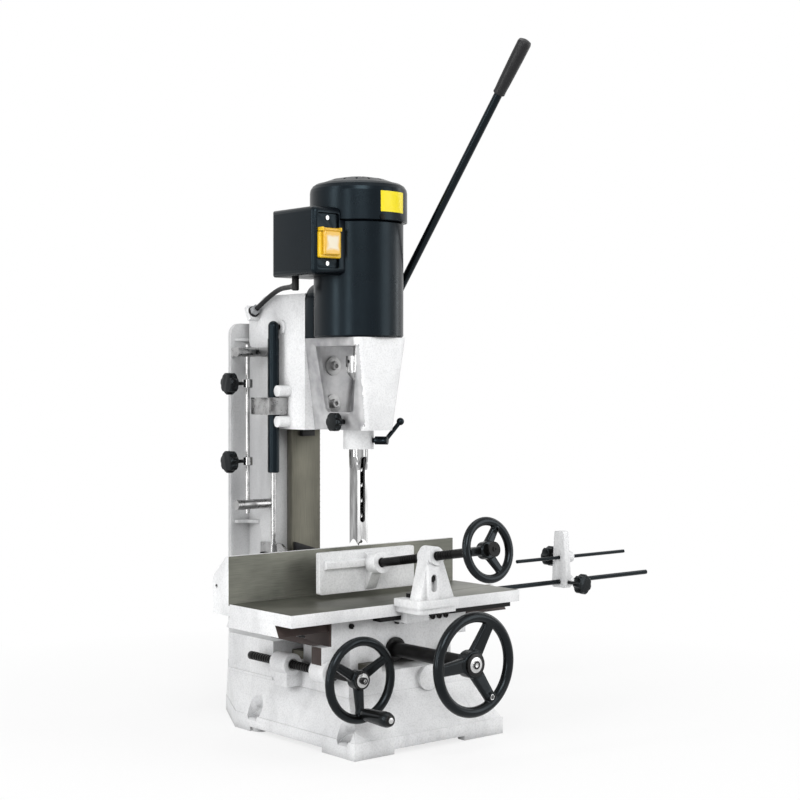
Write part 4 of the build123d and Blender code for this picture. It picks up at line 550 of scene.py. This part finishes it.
# A spoke grows from a cube: wide and thick at the hub, slimmer at the rim
def addSpoke(shape, angle):
    reach = shape["rimRadius"] - shape["hubRadius"] * 0.5
    bpy.ops.mesh.primitive_cube_add(size=1, location=(shape["hubRadius"] * 0.5, 0, -shape["dish"]))
    spoke = bpy.context.object
    spoke.scale = (0.002, shape["hubRadius"] * 1.15, shape["rimThick"] * 1.5)
    applyPlace(spoke)
    bpy.ops.object.mode_set(mode="EDIT")
    bpy.ops.mesh.select_all(action="DESELECT")
    bpy.ops.object.mode_set(mode="OBJECT")
    for face in spoke.data.polygons:
        face.select = face.normal.x > 0.9
    bpy.ops.object.mode_set(mode="EDIT")
    bpy.ops.mesh.select_mode(type="FACE")
    for step in (0.45, 0.55):
        grow = (reach * step, 0, shape["dish"] * step)
        bpy.ops.mesh.extrude_region_move(TRANSFORM_OT_translate={"value": grow})
        bpy.ops.transform.resize(value=(1, 0.86, 0.92))
    bpy.ops.mesh.select_all(action="SELECT")
    bpy.ops.mesh.normals_make_consistent(inside=False)
    bpy.ops.mesh.bevel(offset=shape["rimThick"] * 0.42, segments=3, affect="EDGES")
    bpy.ops.object.mode_set(mode="OBJECT")
    spoke.rotation_euler[2] = math.radians(angle)
    applyPlace(spoke)
    return spoke


def buildWheel(name, shape):
    nothingSelected()
    bpy.ops.mesh.primitive_torus_add(major_radius=shape["rimRadius"], minor_radius=shape["rimThick"],
                                     major_segments=128, minor_segments=28)
    rim = bpy.context.object
    bpy.ops.object.mode_set(mode="EDIT")
    bpy.ops.mesh.select_all(action="SELECT")
    bpy.ops.transform.resize(value=(1, 1, wheelMould["rimFlatness"]))
    bpy.ops.object.mode_set(mode="OBJECT")
    bpy.ops.mesh.primitive_cylinder_add(vertices=72, radius=shape["hubRadius"],
                                        depth=shape["hubBack"] + shape["hubFront"],
                                        location=(0, 0, (shape["hubFront"] - shape["hubBack"]) / 2))
    hub = bpy.context.object
    bpy.ops.object.mode_set(mode="EDIT")
    bpy.ops.mesh.select_all(action="SELECT")
    bpy.ops.mesh.bevel(offset=wheelMould["hubEdge"], segments=3, affect="EDGES")
    bpy.ops.object.mode_set(mode="OBJECT")
    spokes = [addSpoke(shape, angle) for angle in shape["spokes"]]
    seatAngle = math.radians(shape["spokes"][-1])
    seatReach = shape["rimRadius"] - shape["rimThick"] * 1.2
    seatX = seatReach * math.cos(seatAngle)
    seatY = seatReach * math.sin(seatAngle)
    bpy.ops.mesh.primitive_cylinder_add(vertices=40, radius=shape["seat"], depth=shape["rimThick"] * 1.7,
                                        location=(seatX, seatY, 0))
    seat = bpy.context.object
    bpy.ops.object.mode_set(mode="EDIT")
    bpy.ops.mesh.select_all(action="SELECT")
    bpy.ops.mesh.bevel(offset=wheelMould["seatEdge"], segments=2, affect="EDGES")
    bpy.ops.object.mode_set(mode="OBJECT")
    for piece in (hub, seat):
        applyPlace(piece)
    wheel = joinSelected([rim, hub, seat, *spokes])
    wheel.name = name
    fuse = wheel.modifiers.new("fuse", "REMESH")
    fuse.mode = "VOXEL"
    fuse.voxel_size = wheelMould["voxel"]
    bpy.ops.object.modifier_apply(modifier="fuse")
    flow = wheel.modifiers.new("flow", "SMOOTH")
    flow.factor = wheelMould["smoothing"]
    flow.iterations = wheelMould["passes"]
    bpy.ops.object.modifier_apply(modifier="flow")
    for radius, x, y in ((shape["shaft"], 0, 0), (shape["seatHole"], seatX, seatY)):
        bore = radius + wheelMould["boreClearance"]
        bpy.ops.mesh.primitive_cylinder_add(vertices=48, radius=bore, depth=0.08, location=(x, y, 0))
        drill = bpy.context.object
        nothingSelected()
        bpy.context.view_layer.objects.active = wheel
        cut = wheel.modifiers.new("drill", "BOOLEAN")
        cut.operation = "DIFFERENCE"
        cut.solver = "EXACT"
        cut.object = drill
        bpy.ops.object.modifier_apply(modifier="drill")
        bpy.data.objects.remove(drill)
    wheel.rotation_euler = (math.radians(90 - shape["tilt"]), 0, 0)
    wheel.location = shape["centre"]
    applyPlace(wheel)
    bpy.ops.object.shade_smooth_by_angle(angle=math.radians(wheelMould["smoothAngle"]))
    wheel.data.materials.clear()
    wheel.data.materials.append(phenolic)
    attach(wheel, shape["body"])
    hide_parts(shape["node"])
    return wheel


for wheelName, shape in wheelShapes.items():
    buildWheel(wheelName, shape)
    print(wheelName, "moulded")


# Knobs and other small moulded or turned pieces: edge radius in metres
smallEdges = {"lower_collar_knob": 0.0010, "upper_collar_knob": 0.0010, "lower_stop_knob": 0.0010,
              "upper_stop_knob": 0.0010, "head_knob": 0.0010, "lever_hub": 0.0007,
              "switch_frame": 0.0006, "switch_flap": 0.0006, "motor_pad": 0.0010,
              "chisel_lock": 0.0005, "stop_arm": 0.0006, "switch_plate": 0.0004, "lever_grip": 0.0008}
for nodeName, width in smallEdges.items():
    softenNode(nodeName, width)
print("small pieces rounded")


# Floor and light
studio = {"floorDepth": 0.0005, "floorColour": 0.86, "floorNear": 0.76, "fadeFrom": 0.35, "fadeTo": 1.1,
          "skyTop": 0.46, "skyRim": 0.16}
softboxes = {
    "keyBox": {"place": (-1.35, -2.2, 2.0), "aim": (0, 0, 0.45), "size": (1.3, 1.3), "power": 45},
    "sideBox": {"place": (-2.4, 0.35, 0.95), "aim": (0, 0, 0.5), "size": (0.45, 2.4), "power": 26},
    "stripBox": {"place": (-2.2, -1.05, 0.5), "aim": (0, 0, 0.65), "size": (0.35, 1.5), "power": 13},
    "rimBox": {"place": (2.3, -0.45, 0.95), "aim": (0, 0, 0.5), "size": (0.35, 2.2), "power": 9},
    "fillBox": {"place": (1.6, -2.3, 0.9), "aim": (0, 0, 0.4), "size": (1.2, 2.0), "power": 22},
    "topBox": {"place": (0.2, 0.2, 2.9), "aim": (0, 0, 0.4), "size": (1.6, 1.6), "power": 15},
}


# 1 for the rays that look straight at the background, in metal and through glass too
def seenDirectly(tree):
    path = tree.nodes.new("ShaderNodeLightPath")
    seen = addMath(tree, "MAXIMUM", path.outputs["Is Camera Ray"], path.outputs["Is Glossy Ray"])
    return addMath(tree, "MAXIMUM", seen, path.outputs["Is Transmission Ray"])


def makeStage():
    finish = bpy.data.materials.new("paleFloor")
    finish.use_nodes = True
    tree = finish.node_tree
    tree.nodes.clear()
    output = tree.nodes.new("ShaderNodeOutputMaterial")
    diffuse = tree.nodes.new("ShaderNodeBsdfDiffuse")
    diffuse.inputs["Color"].default_value = (*[studio["floorColour"]] * 3, 1)
    glow = tree.nodes.new("ShaderNodeEmission")
    glow.inputs["Color"].default_value = (1, 1, 1, 1)
    coords = tree.nodes.new("ShaderNodeTexCoord")
    reach = tree.nodes.new("ShaderNodeVectorMath")
    reach.operation = "LENGTH"
    tree.links.new(coords.outputs["Object"], reach.inputs[0])
    fade = tree.nodes.new("ShaderNodeMapRange")
    fade.inputs["From Min"].default_value = studio["fadeFrom"]
    fade.inputs["From Max"].default_value = studio["fadeTo"]
    fade.inputs["To Min"].default_value = studio["floorNear"]
    fade.inputs["To Max"].default_value = 1.0
    tree.links.new(reach.outputs["Value"], fade.inputs["Value"])
    mix = tree.nodes.new("ShaderNodeMixShader")
    tree.links.new(addMath(tree, "MULTIPLY", seenDirectly(tree), fade.outputs["Result"]), mix.inputs[0])
    tree.links.new(diffuse.outputs[0], mix.inputs[1])
    tree.links.new(glow.outputs[0], mix.inputs[2])
    tree.links.new(mix.outputs[0], output.inputs["Surface"])
    bpy.ops.mesh.primitive_plane_add(size=30, location=(0, 0, -studio["floorDepth"]))
    floor = bpy.context.object
    floor.name = "studioFloor"
    floor.data.materials.append(finish)


def addSoftbox(name, look):
    bpy.ops.object.light_add(type="AREA", location=look["place"])
    lamp = bpy.context.object
    lamp.name = name
    lamp.data.shape = "RECTANGLE"
    lamp.data.size, lamp.data.size_y = look["size"]
    lamp.data.energy = look["power"]
    direction = Vector(look["aim"]) - Vector(look["place"])
    lamp.rotation_euler = direction.to_track_quat("-Z", "Y").to_euler()


def lightStage():
    world = bpy.data.worlds.new("paleRoom")
    bpy.context.scene.world = world
    world.use_nodes = True
    tree = world.node_tree
    back = tree.nodes["Background"]
    back.inputs["Color"].default_value = (1, 1, 1, 1)
    geometry = tree.nodes.new("ShaderNodeNewGeometry")
    split = tree.nodes.new("ShaderNodeSeparateXYZ")
    tree.links.new(geometry.outputs["Incoming"], split.inputs[0])
    sky = tree.nodes.new("ShaderNodeMapRange")
    sky.inputs["From Min"].default_value = 0.1
    sky.inputs["From Max"].default_value = -0.8
    sky.inputs["To Min"].default_value = studio["skyRim"]
    sky.inputs["To Max"].default_value = studio["skyTop"]
    tree.links.new(split.outputs["Z"], sky.inputs["Value"])
    blend = tree.nodes.new("ShaderNodeMix")
    tree.links.new(seenDirectly(tree), blend.inputs["Factor"])
    tree.links.new(sky.outputs["Result"], blend.inputs["A"])
    blend.inputs["B"].default_value = 1.0
    tree.links.new(blend.outputs["Result"], back.inputs["Strength"])
    for name, look in softboxes.items():
        addSoftbox(name, look)


makeStage()
lightStage()
print("stage lit")

nothingSelected()
